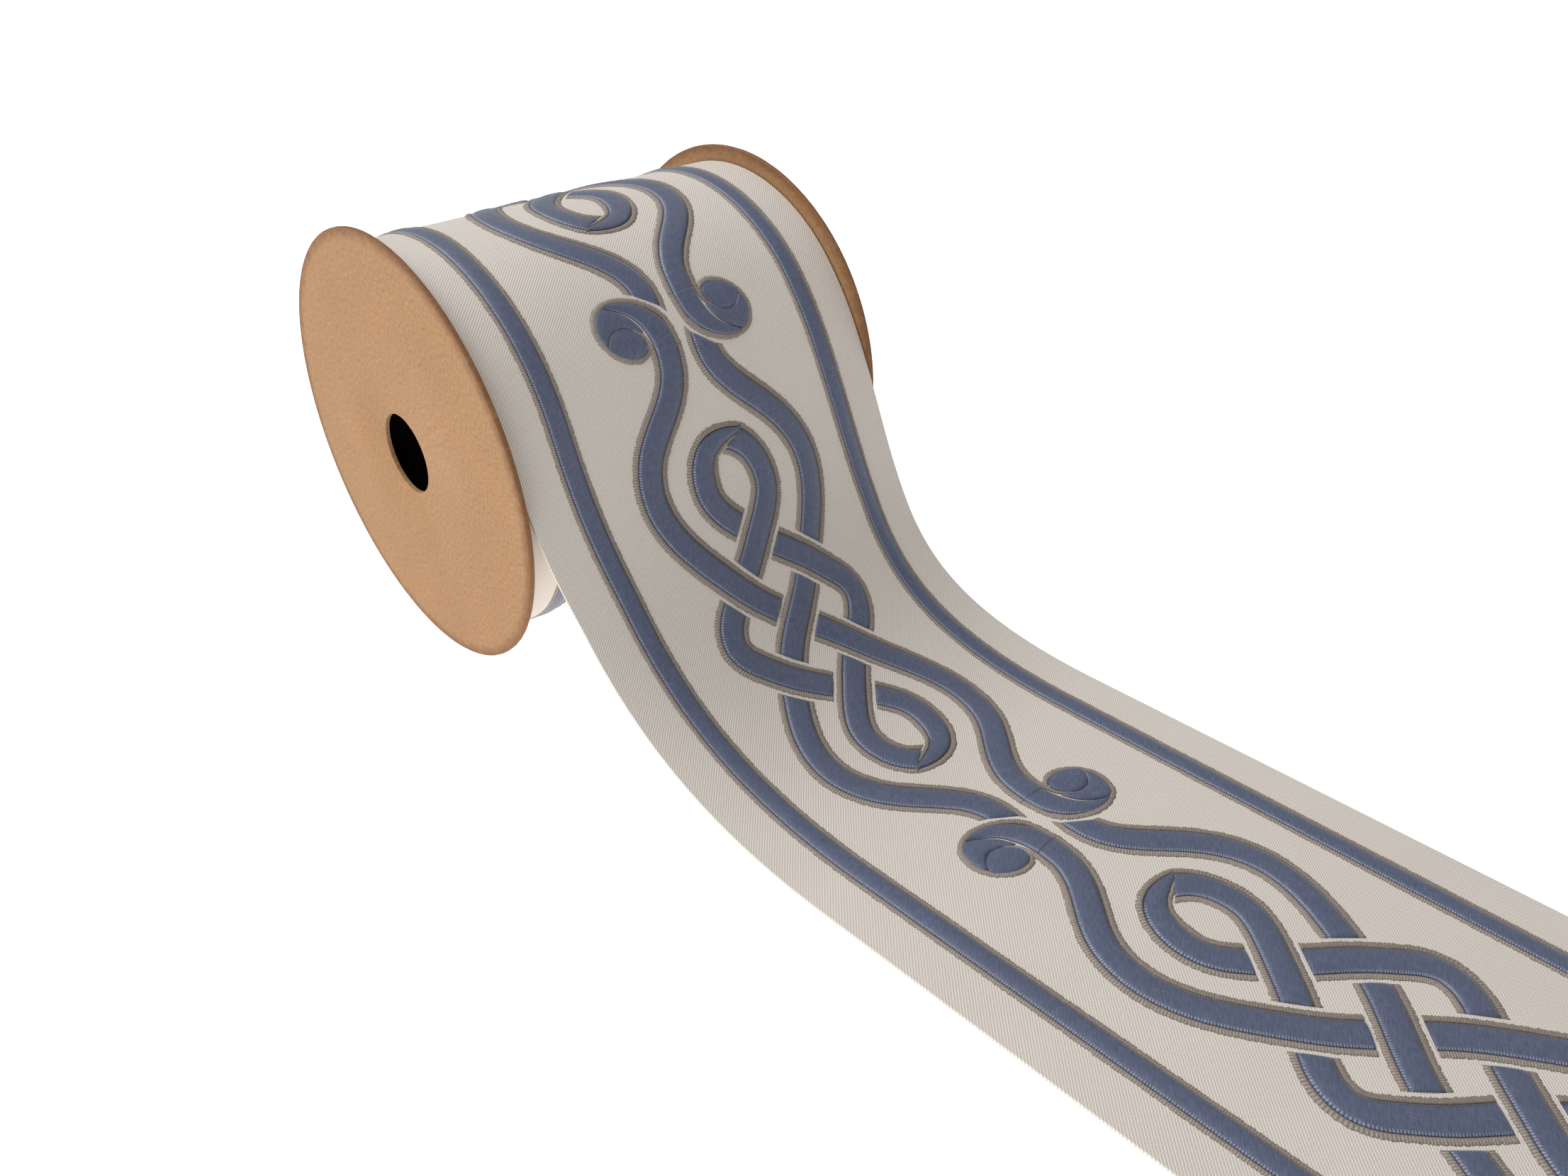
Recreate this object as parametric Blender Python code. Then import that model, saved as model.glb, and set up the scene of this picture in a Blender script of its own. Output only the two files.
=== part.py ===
"""Embroidered tape trim wound on a raw-board spool, with its loose end run out along the table.

Two board discs stand on their rims with the wound tape between them. The tape leaves the top
front of the roll, falls in a soft S and lies flat to a straight cut. The spool's axis runs
along X, the loose end runs toward -Y, and the table is at z = 0. Every size is in metres.
"""

import math

import bpy
import numpy as np

# The tape
TAPE_WIDTH = 0.100
TAPE_THICK = 0.0012
STRIPE_CENTRE = 0.0373
STRIPE_TOP_WIDTH = 0.0046
STRIPE_FOOT_WIDTH = 0.0064
STRIPE_RISE = 0.0004

# The wound roll
PIECE_GAP = 0.0003
WRAP_PITCH = TAPE_THICK + PIECE_GAP
ROLL_RADIUS = 0.0485
ROLL_BORE_RADIUS = 0.0160
WANDER = 0.0004
ROLL_STATIONS = 116
STEP_LEAN = math.radians(0.3)

# The board discs
BOARD_THICK = 0.0012
DISC_RADIUS = 0.0520
HOLE_RADIUS = 0.00975
BOARD_BEVEL = 0.0002
REST_HALF_CHORD = 0.0040
DISC_STATIONS = 96

# The loose end's fall, one row for each selvedge: the height above the axis at which it leaves
# the roll, how firmly it follows the roll's tangent and the table's, and where it lands
LEAVE_STEP = math.radians(47.0)
FALL_COLUMNS = ("u", "leave", "roll_pull", "table_pull", "landing")
LEFT_FALL = (-TAPE_WIDTH / 2, math.radians(19.9), 0.0442, 0.0497, 0.1332)
RIGHT_FALL = (TAPE_WIDTH / 2, math.radians(41.8), 0.0483, 0.0784, 0.1259)

# The loose end's course on the table, a little off square to the axis
RUN_LENGTH = 0.326
RUN_TURN = math.radians(3.45)
RUN_OFFSET = -0.0017
ROLL_OFFSET = 0.0002
DRIFT_STARTS = 0.046
DRIFT_ENDS = 0.064

# Stations along the loose end
ROLL_STEPS = 10
FALL_STEPS = 44
FLAT_STEPS = 12
PARTING_STEPS = 8
PLAIN_COLUMNS = 6

AXIS_HEIGHT = math.sqrt(DISC_RADIUS**2 - REST_HALF_CHORD**2)
INNER_FACE = TAPE_WIDTH / 2 + WANDER + PIECE_GAP
SMOOTH_ANGLE = math.radians(35.0)


def clear_scene():
    """Removes whatever the opening scene holds."""
    for thing in list(bpy.data.objects):
        bpy.data.objects.remove(thing, do_unlink=True)


def make_finish(name, colour, roughness):
    """A plain Principled finish."""
    finish = bpy.data.materials.new(name)
    finish.use_nodes = True
    shader = finish.node_tree.nodes["Principled BSDF"]
    shader.inputs["Base Color"].default_value = (*colour, 1.0)
    shader.inputs["Roughness"].default_value = roughness
    shader.inputs["Metallic"].default_value = 0.0
    return finish


def make_object(name, points, faces, finish, parent):
    """One smooth-shaded object from points and faces, under the spool's empty."""
    mesh = bpy.data.meshes.new(name)
    mesh.from_pydata([tuple(point) for point in points], [], faces)
    mesh.materials.append(finish)
    mesh.shade_smooth()
    mesh.set_sharp_from_angle(angle=SMOOTH_ANGLE)
    mesh.update()
    made = bpy.data.objects.new(name, mesh)
    made.parent = parent
    bpy.context.scene.collection.objects.link(made)
    return made


def around_axis(x, radius, angle):
    """A point at an angle from the top, turning toward the front (-Y)."""
    return (x, -radius * math.sin(angle), AXIS_HEIGHT + radius * math.cos(angle))


def disc_profile():
    """The board's cut section as (x, radius), wound so that its faces point out."""
    half = BOARD_THICK / 2
    inner = HOLE_RADIUS
    outer = DISC_RADIUS
    cut = BOARD_BEVEL
    return [
        (-half, inner),
        (-half, outer - cut),
        (cut - half, outer),
        (half - cut, outer),
        (half, outer - cut),
        (half, inner),
    ]


def make_disc(name, centre_x, finish, parent):
    """A die-cut board disc with its spindle hole and a small flat spot to stand on."""
    profile = disc_profile()
    count = len(profile)
    points = []
    for station in range(DISC_STATIONS):
        angle = 2 * math.pi * station / DISC_STATIONS
        for x, radius in profile:
            px, py, pz = around_axis(centre_x + x, radius, angle)
            points.append((px, py, max(pz, 0.0)))
    faces = []
    for station in range(DISC_STATIONS):
        near = station * count
        far = (station + 1) % DISC_STATIONS * count
        for edge in range(count):
            nxt = (edge + 1) % count
            faces.append((far + edge, far + nxt, near + nxt, near + edge))
    return make_object(name, points, faces, finish, parent)


def stripe_rise(u):
    """How far the stitched border stripes stand above the tape's ground, at u across the tape."""
    off = abs(abs(u) - STRIPE_CENTRE)
    foot = STRIPE_FOOT_WIDTH / 2
    top = STRIPE_TOP_WIDTH / 2
    return STRIPE_RISE * min(max((foot - off) / (foot - top), 0.0), 1.0)


def across_tape(half_width, plain_steps):
    """Stations across the tape, with points at each foot and shoulder of the stripes."""
    bends = []
    for side in (-1.0, 1.0):
        for half in (STRIPE_FOOT_WIDTH / 2, STRIPE_TOP_WIDTH / 2):
            bends.append(side * STRIPE_CENTRE - half)
            bends.append(side * STRIPE_CENTRE + half)
    inside = STRIPE_CENTRE - STRIPE_FOOT_WIDTH / 2
    middle = np.linspace(-inside, inside, plain_steps + 1)[1:-1]
    return sorted([-half_width, half_width, *bends, *middle])


def make_roll(finish, parent):
    """The wound tape: a spiral outside that drops one wrap at the leaving line, and a bore."""
    stations = across_tape(TAPE_WIDTH / 2 + WANDER, 1)
    count = len(stations)
    start = math.pi / 2 - LEAVE_STEP
    turn = 2 * math.pi - STEP_LEAN
    points = []
    for ring in range(ROLL_STATIONS + 1):
        part = ring / ROLL_STATIONS
        angle = start - turn * part
        radius = ROLL_RADIUS - WRAP_PITCH * part
        for u in stations:
            points.append(around_axis(u, radius + stripe_rise(u), angle))
    bore_start = len(points)
    for ring in range(ROLL_STATIONS):
        angle = start - 2 * math.pi * ring / ROLL_STATIONS
        points.append(around_axis(stations[0], ROLL_BORE_RADIUS, angle))
        points.append(around_axis(stations[-1], ROLL_BORE_RADIUS, angle))

    def outer(ring, column):
        return ring * count + column

    def bore(ring, side):
        return bore_start + 2 * (ring % ROLL_STATIONS) + side

    faces = []
    last = count - 1
    for ring in range(ROLL_STATIONS):
        for column in range(last):
            faces.append((
                outer(ring, column),
                outer(ring, column + 1),
                outer(ring + 1, column + 1),
                outer(ring + 1, column),
            ))
        faces.append((outer(ring, 0), outer(ring + 1, 0), bore(ring + 1, 0), bore(ring, 0)))
        faces.append((outer(ring + 1, last), outer(ring, last), bore(ring, 1), bore(ring + 1, 1)))
        faces.append((bore(ring, 0), bore(ring + 1, 0), bore(ring + 1, 1), bore(ring, 1)))
    for column in range(last):
        faces.append((
            outer(ROLL_STATIONS, column),
            outer(ROLL_STATIONS, column + 1),
            outer(0, column + 1),
            outer(0, column),
        ))
    faces.append((outer(ROLL_STATIONS, 0), outer(0, 0), bore(0, 0)))
    faces.append((outer(0, last), outer(ROLL_STATIONS, last), bore(0, 1)))
    return make_object("wound_roll", points, faces, finish, parent)


def drift(distance):
    """Sideways place of the run's centre line, at a distance in front of the axis."""
    part = (distance - DRIFT_STARTS) / (DRIFT_ENDS - DRIFT_STARTS)
    part = min(max(part, 0.0), 1.0)
    ease = part * part * (3 - 2 * part)
    on_table = RUN_OFFSET + math.tan(RUN_TURN) * distance
    return ROLL_OFFSET + (on_table - ROLL_OFFSET) * ease


def fall_values(u):
    """The fall's values at u across the tape, blended between its two selvedges."""
    share = (u - LEFT_FALL[0]) / (RIGHT_FALL[0] - LEFT_FALL[0])
    return {
        name: left + (right - left) * share
        for name, left, right in zip(FALL_COLUMNS, LEFT_FALL, RIGHT_FALL)
    }


def underside_path(u):
    """The tape's underside at u as (distance in front of the axis, height), root to cut end."""
    fall = fall_values(u)
    under = ROLL_RADIUS - TAPE_THICK
    start = LEAVE_STEP - STEP_LEAN - PIECE_GAP / under
    leave = fall["leave"]
    path = []
    for step in range(ROLL_STEPS):
        angle = start + (leave - start) * step / ROLL_STEPS
        path.append((under * math.cos(angle), AXIS_HEIGHT + under * math.sin(angle)))
    first = np.array([under * math.cos(leave), AXIS_HEIGHT + under * math.sin(leave)])
    tangent = np.array([math.sin(leave), -math.cos(leave)])
    landing = np.array([fall["landing"], 0.0])
    second = first + fall["roll_pull"] * tangent
    third = landing - np.array([fall["table_pull"], 0.0])
    for step in range(FALL_STEPS):
        t = step / FALL_STEPS
        point = (1 - t) ** 3 * first + 3 * (1 - t) ** 2 * t * second
        point = point + 3 * (1 - t) * t**2 * third + t**3 * landing
        path.append(tuple(point))
    path.append(tuple(landing))
    run = np.array(path)
    used = float(np.hypot(*np.diff(run, axis=0).T).sum())
    flat = RUN_LENGTH - under * (math.pi / 2 - start) - used
    for step in range(1, FLAT_STEPS + 1):
        path.append((fall["landing"] + flat * step / FLAT_STEPS, 0.0))
    return np.array(path)


def outward_normals(path):
    """Unit normals on the outer, stitched side of a path."""
    along = np.gradient(path, axis=0)
    along /= np.linalg.norm(along, axis=1)[:, None]
    return np.stack([-along[:, 1], along[:, 0]], axis=1)


def lifted_by_roll(rows):
    """How far the stripes of the wrap below lift the run's underside, from 1 on the roll to 0."""
    row = np.arange(rows)[:, None]
    return np.clip((ROLL_STEPS + PARTING_STEPS - row) / PARTING_STEPS, 0.0, 1.0)


def make_run(finish, parent):
    """The loose end as one sheet, from the leaving line to its straight cut."""
    stations = across_tape(TAPE_WIDTH / 2, PLAIN_COLUMNS)
    columns = []
    for u in stations:
        path = underside_path(u)
        normal = outward_normals(path)
        under = path + normal * stripe_rise(u) * lifted_by_roll(len(path))
        over = path + normal * (TAPE_THICK + stripe_rise(u))
        columns.append((u, under, over))
    rows = len(columns[0][1])
    count = len(columns)
    points = []
    for layer in (1, 2):
        for row in range(rows):
            for column in columns:
                distance, height = column[layer][row]
                points.append((column[0] + drift(column[1][row][0]), -distance, height))

    def corner(layer, row, column):
        return (layer * rows + row) * count + column

    faces = []
    for row in range(rows - 1):
        for column in range(count - 1):
            faces.append((
                corner(1, row, column),
                corner(1, row + 1, column),
                corner(1, row + 1, column + 1),
                corner(1, row, column + 1),
            ))
            faces.append((
                corner(0, row, column),
                corner(0, row, column + 1),
                corner(0, row + 1, column + 1),
                corner(0, row + 1, column),
            ))
        for column, turn in ((0, 1), (count - 1, -1)):
            side = (
                corner(0, row, column),
                corner(0, row + 1, column),
                corner(1, row + 1, column),
                corner(1, row, column),
            )
            faces.append(side[::turn])
    for column in range(count - 1):
        for row, turn in ((0, -1), (rows - 1, 1)):
            end = (
                corner(0, row, column),
                corner(0, row, column + 1),
                corner(1, row, column + 1),
                corner(1, row, column),
            )
            faces.append(end[::turn])
    return make_object("tape_run", points, faces, finish, parent)


def centre_on_base(pieces, parent):
    """Moves the whole part so that the origin is below the middle of its box."""
    corners = np.array([point.co for piece in pieces for point in piece.data.vertices])
    middle = (corners.min(axis=0) + corners.max(axis=0)) / 2
    parent.location = (-middle[0], -middle[1], 0.0)


def main():
    clear_scene()
    board = make_finish("raw_board", (0.40, 0.26, 0.15), 0.85)
    cloth = make_finish("embroidered_tape", (0.62, 0.57, 0.50), 0.75)
    spool = bpy.data.objects.new("spool", None)
    bpy.context.scene.collection.objects.link(spool)
    disc_centre = INNER_FACE + BOARD_THICK / 2
    pieces = [
        make_disc("flange_left", -disc_centre, board, spool),
        make_disc("flange_right", disc_centre, board, spool),
        make_roll(cloth, spool),
        make_run(cloth, spool),
    ]
    centre_on_base(pieces, spool)


main()
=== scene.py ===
"""The looks of an embroidered tape trim on its board spool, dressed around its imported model.

The tape is drawn flat first, as (across, along, height) in millimetres: across runs from the
left selvedge to the right one, along starts at the top of the roll and grows toward the cut end.
TapePath then lays those points on the tape's true course, in metres.
"""

import logging
import math
from dataclasses import dataclass, field, replace
from enum import Enum

import bmesh
import bpy
import numpy as np
from mathutils import Matrix, Vector


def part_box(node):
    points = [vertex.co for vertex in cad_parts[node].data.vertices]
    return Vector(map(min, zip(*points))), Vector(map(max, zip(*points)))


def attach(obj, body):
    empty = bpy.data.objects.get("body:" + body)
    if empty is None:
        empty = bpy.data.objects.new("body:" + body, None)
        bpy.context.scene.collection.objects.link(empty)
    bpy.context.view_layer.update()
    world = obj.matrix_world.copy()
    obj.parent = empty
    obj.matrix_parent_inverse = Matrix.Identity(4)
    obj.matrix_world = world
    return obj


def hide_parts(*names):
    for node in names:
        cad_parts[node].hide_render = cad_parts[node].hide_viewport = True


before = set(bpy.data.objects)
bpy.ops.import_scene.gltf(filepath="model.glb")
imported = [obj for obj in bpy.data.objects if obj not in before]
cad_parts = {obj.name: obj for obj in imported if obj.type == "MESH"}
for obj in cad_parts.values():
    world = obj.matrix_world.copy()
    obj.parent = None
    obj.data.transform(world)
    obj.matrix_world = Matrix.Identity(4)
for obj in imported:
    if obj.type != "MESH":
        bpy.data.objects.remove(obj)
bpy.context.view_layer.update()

MM = 0.001
Array = np.ndarray
Socket = bpy.types.NodeSocket
log = logging.getLogger("tape_trim")


def ease(value: Array, start: float, end: float) -> Array:
    """Smooth step from 0 at start to 1 at end.

    Args:
        value: Where to read the step.
        start: The value at which it begins.
        end: The value at which it is complete.

    Returns:
        The step, from 0 to 1.
    """
    part = np.clip((value - start) / (end - start), 0.0, 1.0)
    return part * part * (3.0 - 2.0 * part)


def smooth_curve(points: Array, step: float) -> Array:
    """A natural cubic spline through points, read at an even step of its chords.

    Args:
        points: One row for each point; every column is carried along the curve.
        step: The distance between the points read, in the points' own units.

    Returns:
        The points read, with the same columns.
    """
    knots = np.asarray(points, float)
    chords = np.hypot(*np.diff(knots[:, :2], axis=0).T)
    reach = np.concatenate([[0.0], np.cumsum(chords)])
    count = len(knots)
    system = np.zeros((count, count))
    sides = np.zeros_like(knots)
    system[0, 0] = system[-1, -1] = 1.0
    for row in range(1, count - 1):
        before, after = chords[row - 1], chords[row]
        system[row, row - 1:row + 2] = before, 2.0 * (before + after), after
        slope_after = (knots[row + 1] - knots[row]) / after
        slope_before = (knots[row] - knots[row - 1]) / before
        sides[row] = 6.0 * (slope_after - slope_before)
    bend = np.linalg.solve(system, sides)
    read = np.linspace(0.0, reach[-1], max(int(round(reach[-1] / step)), 2) + 1)
    span = np.clip(np.searchsorted(reach, read, side="right") - 1, 0, count - 2)
    chord = chords[span][:, None]
    left = (reach[span + 1] - read)[:, None]
    right = (read - reach[span])[:, None]
    curve = (bend[span] * left**3 + bend[span + 1] * right**3) / (6.0 * chord)
    curve += (knots[span] / chord - bend[span] * chord / 6.0) * left
    curve += (knots[span + 1] / chord - bend[span + 1] * chord / 6.0) * right
    return curve


def half_turned(points: Array) -> Array:
    """Turns points half round about the origin and reverses their order.

    Args:
        points: Rows whose first two columns are a place.

    Returns:
        The turned rows.
    """
    turned = np.array(points, float)
    turned[:, :2] *= -1.0
    return turned[::-1]


def left_normals(curve: Array) -> Array:
    """Unit normals on the left-hand side of a plane curve.

    Args:
        curve: The curve's points.

    Returns:
        One normal for each point.
    """
    along = np.gradient(curve[:, :2], axis=0)
    along /= np.linalg.norm(along, axis=1)[:, None]
    return np.stack([-along[:, 1], along[:, 0]], axis=1)


def distance_to(points: Array, curve: Array) -> Array:
    """How far each point lies from a curve.

    Args:
        points: The points to measure, in any layout whose last axis is a place.
        curve: The curve, closely sampled.

    Returns:
        The distances, in the layout of the points.
    """
    flat = points.reshape(-1, 2)
    gaps = flat[:, None, :] - curve[None, :, :2]
    return np.sqrt((gaps**2).sum(axis=2).min(axis=1)).reshape(points.shape[:-1])


@dataclass(frozen=True)
class SpoolDatum:
    """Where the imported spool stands, in millimetres."""

    middle_x: float
    axis_y: float
    axis_height: float
    disc_radius: float
    inner_face: float

    @classmethod
    def from_frame(cls) -> "SpoolDatum":
        """Reads the spool's axis and middle from its two board discs.

        Returns:
            The datum.
        """
        left_low, left_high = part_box("flange_left")
        right_low, right_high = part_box("flange_right")
        radius = (left_high.y - left_low.y) / 2
        return cls(
            middle_x=(left_low.x + right_high.x) / 2 / MM,
            axis_y=(left_low.y + left_high.y) / 2 / MM,
            axis_height=(left_high.z - radius) / MM,
            disc_radius=radius / MM,
            inner_face=(right_low.x - left_high.x) / 2 / MM,
        )

    def around(self, x: Array, radius: Array, angle: Array) -> Array:
        """Points about the axis, in metres.

        Args:
            x: Places along the axis, from the spool's middle.
            radius: Distances from the axis.
            angle: Angles from the top, toward the camera.

        Returns:
            The points, one row each.
        """
        x, radius, angle = np.broadcast_arrays(x, radius, angle)
        across = x + self.middle_x
        depth = self.axis_y - radius * np.sin(angle)
        height = self.axis_height + radius * np.cos(angle)
        return np.stack([across, depth, height], axis=-1).reshape(-1, 3) * MM


@dataclass(frozen=True)
class Selvedge:
    """How one selvedge leaves the roll, falls and lands, in millimetres and degrees."""

    across: float
    leave: float
    roll_pull: float
    table_pull: float
    landing: float

    def toward(self, other: "Selvedge", share: float) -> "Selvedge":
        """A line of the tape between two selvedges.

        Args:
            other: The second selvedge.
            share: 0 at this selvedge and 1 at the other.

        Returns:
            The line's own values.
        """
        mine = np.array([self.across, self.leave, self.roll_pull, self.table_pull, self.landing])
        theirs = np.array(
            [other.across, other.leave, other.roll_pull, other.table_pull, other.landing]
        )
        return Selvedge(*(mine + (theirs - mine) * share))


@dataclass
class TapePath:
    """The course of the tape's underside, from its last wrap on the roll to the cut end."""

    datum: SpoolDatum
    left: Selvedge = Selvedge(-50.0, 19.9, 44.2, 49.7, 133.2)
    right: Selvedge = Selvedge(50.0, 41.8, 48.3, 78.4, 125.9)
    radius: float = 47.3
    turn_pitch: float = 1.5
    wrap_start: float = -285.0
    cut: float = 326.0
    run_turn: float = 3.45
    run_offset: float = -1.7
    roll_offset: float = 0.2
    drift_starts: float = 46.0
    drift_ends: float = 64.0
    lower_wrap_shift: float = -0.5
    column_step: float = 2.5
    row_step: float = 0.5
    back_samples: int = 1200
    front_samples: int = 300
    fall_samples: int = 500
    margin: float = 4.0
    places: Array = field(init=False)
    normals: Array = field(init=False)

    def __post_init__(self) -> None:
        """Samples the course on an even grid, with its normals."""
        reach = self.right.across + self.margin
        self.columns = np.arange(-reach, reach + 1.0, self.column_step)
        self.rows = np.arange(
            self.wrap_start - self.margin, self.cut + self.margin, self.row_step
        )
        self.places = np.stack([self.line(across) for across in self.columns])
        by_column = np.gradient(self.places, axis=0)
        by_row = np.gradient(self.places, axis=1)
        outward = np.cross(by_row, by_column)
        outward /= np.linalg.norm(outward, axis=2)[:, :, None]
        top = np.argmin(np.abs(self.rows))
        if outward[len(self.columns) // 2, top, 2] < 0.0:
            outward = -outward
        self.normals = outward

    def section(self, across: float) -> Array:
        """The underside at one line of the tape, from the hidden start of the wrap.

        Args:
            across: The line's place across the tape.

        Returns:
            Rows of distance in front of the axis and height above the table.
        """
        share = (across - self.left.across) / (self.right.across - self.left.across)
        fall = self.left.toward(self.right, share)
        leave = math.radians(90.0 - fall.leave)
        behind = np.linspace(-2.0 * math.pi, 0.0, self.back_samples)
        before = np.linspace(0.0, leave, self.front_samples)[1:]
        angle = np.concatenate([behind, before])
        radius = self.radius + self.turn_pitch * np.minimum(angle, 0.0) / (2.0 * math.pi)
        axis = self.datum.axis_height
        wound = np.stack([radius * np.sin(angle), axis + radius * np.cos(angle)], axis=1)
        first = wound[-1]
        second = first + fall.roll_pull * np.array([math.cos(leave), -math.sin(leave)])
        third = np.array([fall.landing - fall.table_pull, 0.0])
        landing = np.array([fall.landing, 0.0])
        t = np.linspace(0.0, 1.0, self.fall_samples)[1:, None]
        drop = (1 - t) ** 3 * first + 3 * (1 - t) ** 2 * t * second
        drop = drop + 3 * (1 - t) * t**2 * third + t**3 * landing
        far = np.array([[self.cut + 2.0 * self.margin, 0.0]])
        return np.concatenate([wound, drop, far])

    def line(self, across: float) -> Array:
        """Points of one line of the tape at the even rows, in millimetres.

        Args:
            across: The line's place across the tape.

        Returns:
            World points, one for each row.
        """
        section = self.section(across)
        steps = np.hypot(*np.diff(section, axis=0).T)
        length = np.concatenate([[0.0], np.cumsum(steps)])
        length -= length[self.back_samples - 1]
        distance = np.interp(self.rows, length, section[:, 0])
        height = np.interp(self.rows, length, section[:, 1])
        eased = ease(distance, self.drift_starts, self.drift_ends)
        eased = np.where(self.rows > 0.0, eased, 0.0)
        table = self.run_offset + math.tan(math.radians(self.run_turn)) * distance
        sideways = self.roll_offset + (table - self.roll_offset) * eased
        sideways = sideways + self.lower_wrap_shift * ease(-self.rows, 120.0, 260.0)
        x = self.datum.middle_x + across + sideways
        return np.stack([x, self.datum.axis_y - distance, height], axis=1)

    def place(self, flat: Array) -> Array:
        """Lays flat points on the tape's course.

        Args:
            flat: Rows of across, along and height over the underside, in millimetres.

        Returns:
            World points in metres.
        """
        column = (flat[:, 0] - self.columns[0]) / self.column_step
        row = (flat[:, 1] - self.rows[0]) / self.row_step
        left = np.clip(column.astype(int), 0, len(self.columns) - 2)
        back = np.clip(row.astype(int), 0, len(self.rows) - 2)
        x = (column - left)[:, None]
        y = (row - back)[:, None]
        weights = ((0, 0, (1 - x) * (1 - y)), (1, 0, x * (1 - y)), (0, 1, (1 - x) * y), (1, 1, x * y))
        point = sum(self.places[left + i, back + j] * weight for i, j, weight in weights)
        normal = sum(self.normals[left + i, back + j] * weight for i, j, weight in weights)
        return (point + normal * flat[:, 2:3]) * MM


class Nodes:
    """Short calls that build one node tree."""

    def __init__(self, tree: bpy.types.NodeTree) -> None:
        """Keeps the tree that the calls add to."""
        self.tree = tree

    def add(self, kind: str, **settings: object) -> bpy.types.Node:
        """Adds a node.

        Args:
            kind: The node's type, without its ShaderNode or Node prefix.
            settings: Attributes to set on the node.

        Returns:
            The node.
        """
        prefix = "" if kind.startswith("NodeGroup") else "ShaderNode"
        node = self.tree.nodes.new(prefix + kind)
        for name, value in settings.items():
            setattr(node, name, value)
        return node

    def feed(self, socket: Socket, value: object) -> None:
        """Links a socket into an input, or sets the input's own value.

        Args:
            socket: The input.
            value: A socket, a number, a colour or a vector.
        """
        if isinstance(value, bpy.types.NodeSocket):
            self.tree.links.new(value, socket)
        else:
            socket.default_value = value

    def math(self, operation: str, first: object, second: object = 0.0, clamp: bool = False) -> Socket:
        """One math node.

        Args:
            operation: Blender's name of the operation.
            first: The first value or socket.
            second: The second value or socket.
            clamp: Whether the result is kept from 0 to 1.

        Returns:
            The result.
        """
        node = self.add("Math", operation=operation, use_clamp=clamp)
        self.feed(node.inputs[0], first)
        self.feed(node.inputs[1], second)
        return node.outputs[0]

    def spread(self, value: object, low: float, high: float, new_low: float, new_high: float) -> Socket:
        """Maps a range of a value to another, smoothly and clamped.

        Args:
            value: The value or socket to map.
            low: Start of its range.
            high: End of its range.
            new_low: Result at the start.
            new_high: Result at the end.

        Returns:
            The mapped value.
        """
        node = self.add("MapRange", interpolation_type="SMOOTHSTEP", clamp=True)
        self.feed(node.inputs["Value"], value)
        node.inputs["From Min"].default_value = low
        node.inputs["From Max"].default_value = high
        node.inputs["To Min"].default_value = new_low
        node.inputs["To Max"].default_value = new_high
        return node.outputs["Result"]

    def blend(self, share: object, first: object, second: object, mode: str = "MIX") -> Socket:
        """Blends two colours.

        Args:
            share: How much of the second colour.
            first: The first colour or socket.
            second: The second colour or socket.
            mode: Blender's name of the way of mixing.

        Returns:
            The blended colour.
        """
        node = self.add("Mix", data_type="RGBA", blend_type=mode)
        self.feed(node.inputs["Factor"], share)
        self.feed(node.inputs[6], first)
        self.feed(node.inputs[7], second)
        return node.outputs[2]

    def noise(self, place: Socket, scale: float, detail: float = 2.0) -> Socket:
        """A soft random value over the surface.

        Args:
            place: The coordinates to read.
            scale: Cells for each unit of the coordinates.
            detail: How many finer layers are added.

        Returns:
            A value around 0.5.
        """
        node = self.add("TexNoise")
        self.feed(node.inputs["Vector"], place)
        node.inputs["Scale"].default_value = scale
        node.inputs["Detail"].default_value = detail
        return node.outputs[0]

    def stretched(self, place: Socket, scales: tuple[float, float, float], turn: float = 0.0) -> Socket:
        """Turns coordinates about Z, then scales them unevenly.

        Args:
            place: The coordinates.
            scales: The factor on each axis.
            turn: The turn in radians, before the scaling.

        Returns:
            The new coordinates.
        """
        rotated = self.add("VectorRotate", rotation_type="Z_AXIS")
        self.feed(rotated.inputs["Vector"], place)
        rotated.inputs["Angle"].default_value = turn
        scaled = self.add("VectorMath", operation="MULTIPLY")
        self.feed(scaled.inputs[0], rotated.outputs[0])
        scaled.inputs[1].default_value = scales
        return scaled.outputs[0]

    def parts(self, place: Socket) -> tuple[Socket, Socket, Socket]:
        """The three numbers of a vector.

        Args:
            place: The vector.

        Returns:
            Its X, Y and Z.
        """
        node = self.add("SeparateXYZ")
        self.feed(node.inputs[0], place)
        return node.outputs[0], node.outputs[1], node.outputs[2]


class UVName(Enum):
    """The coordinates that a piece's mesh carries, in millimetres or stitches."""

    TAPE = "tape"
    STRAND = "strand"
    SIDE = "side"
    FACE = "face"


def new_group(name: str, inputs: tuple[tuple[str, str, float], ...], outputs: tuple[str, ...]) -> Nodes:
    """An empty shader group with named sockets.

    Args:
        name: The group's name.
        inputs: Rows of socket name, socket kind and starting value.
        outputs: Names of the outputs, all of them numbers.

    Returns:
        The group's nodes, with its input node and output node in place.
    """
    tree = bpy.data.node_groups.new(name, "ShaderNodeTree")
    for label, kind, start in inputs:
        socket = tree.interface.new_socket(label, in_out="INPUT", socket_type=kind)
        if kind == "NodeSocketFloat":
            socket.default_value = start
    for label in outputs:
        tree.interface.new_socket(label, in_out="OUTPUT", socket_type="NodeSocketFloat")
    nodes = Nodes(tree)
    nodes.source = tree.nodes.new("NodeGroupInput").outputs
    nodes.result = tree.nodes.new("NodeGroupOutput").inputs
    return nodes


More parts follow.
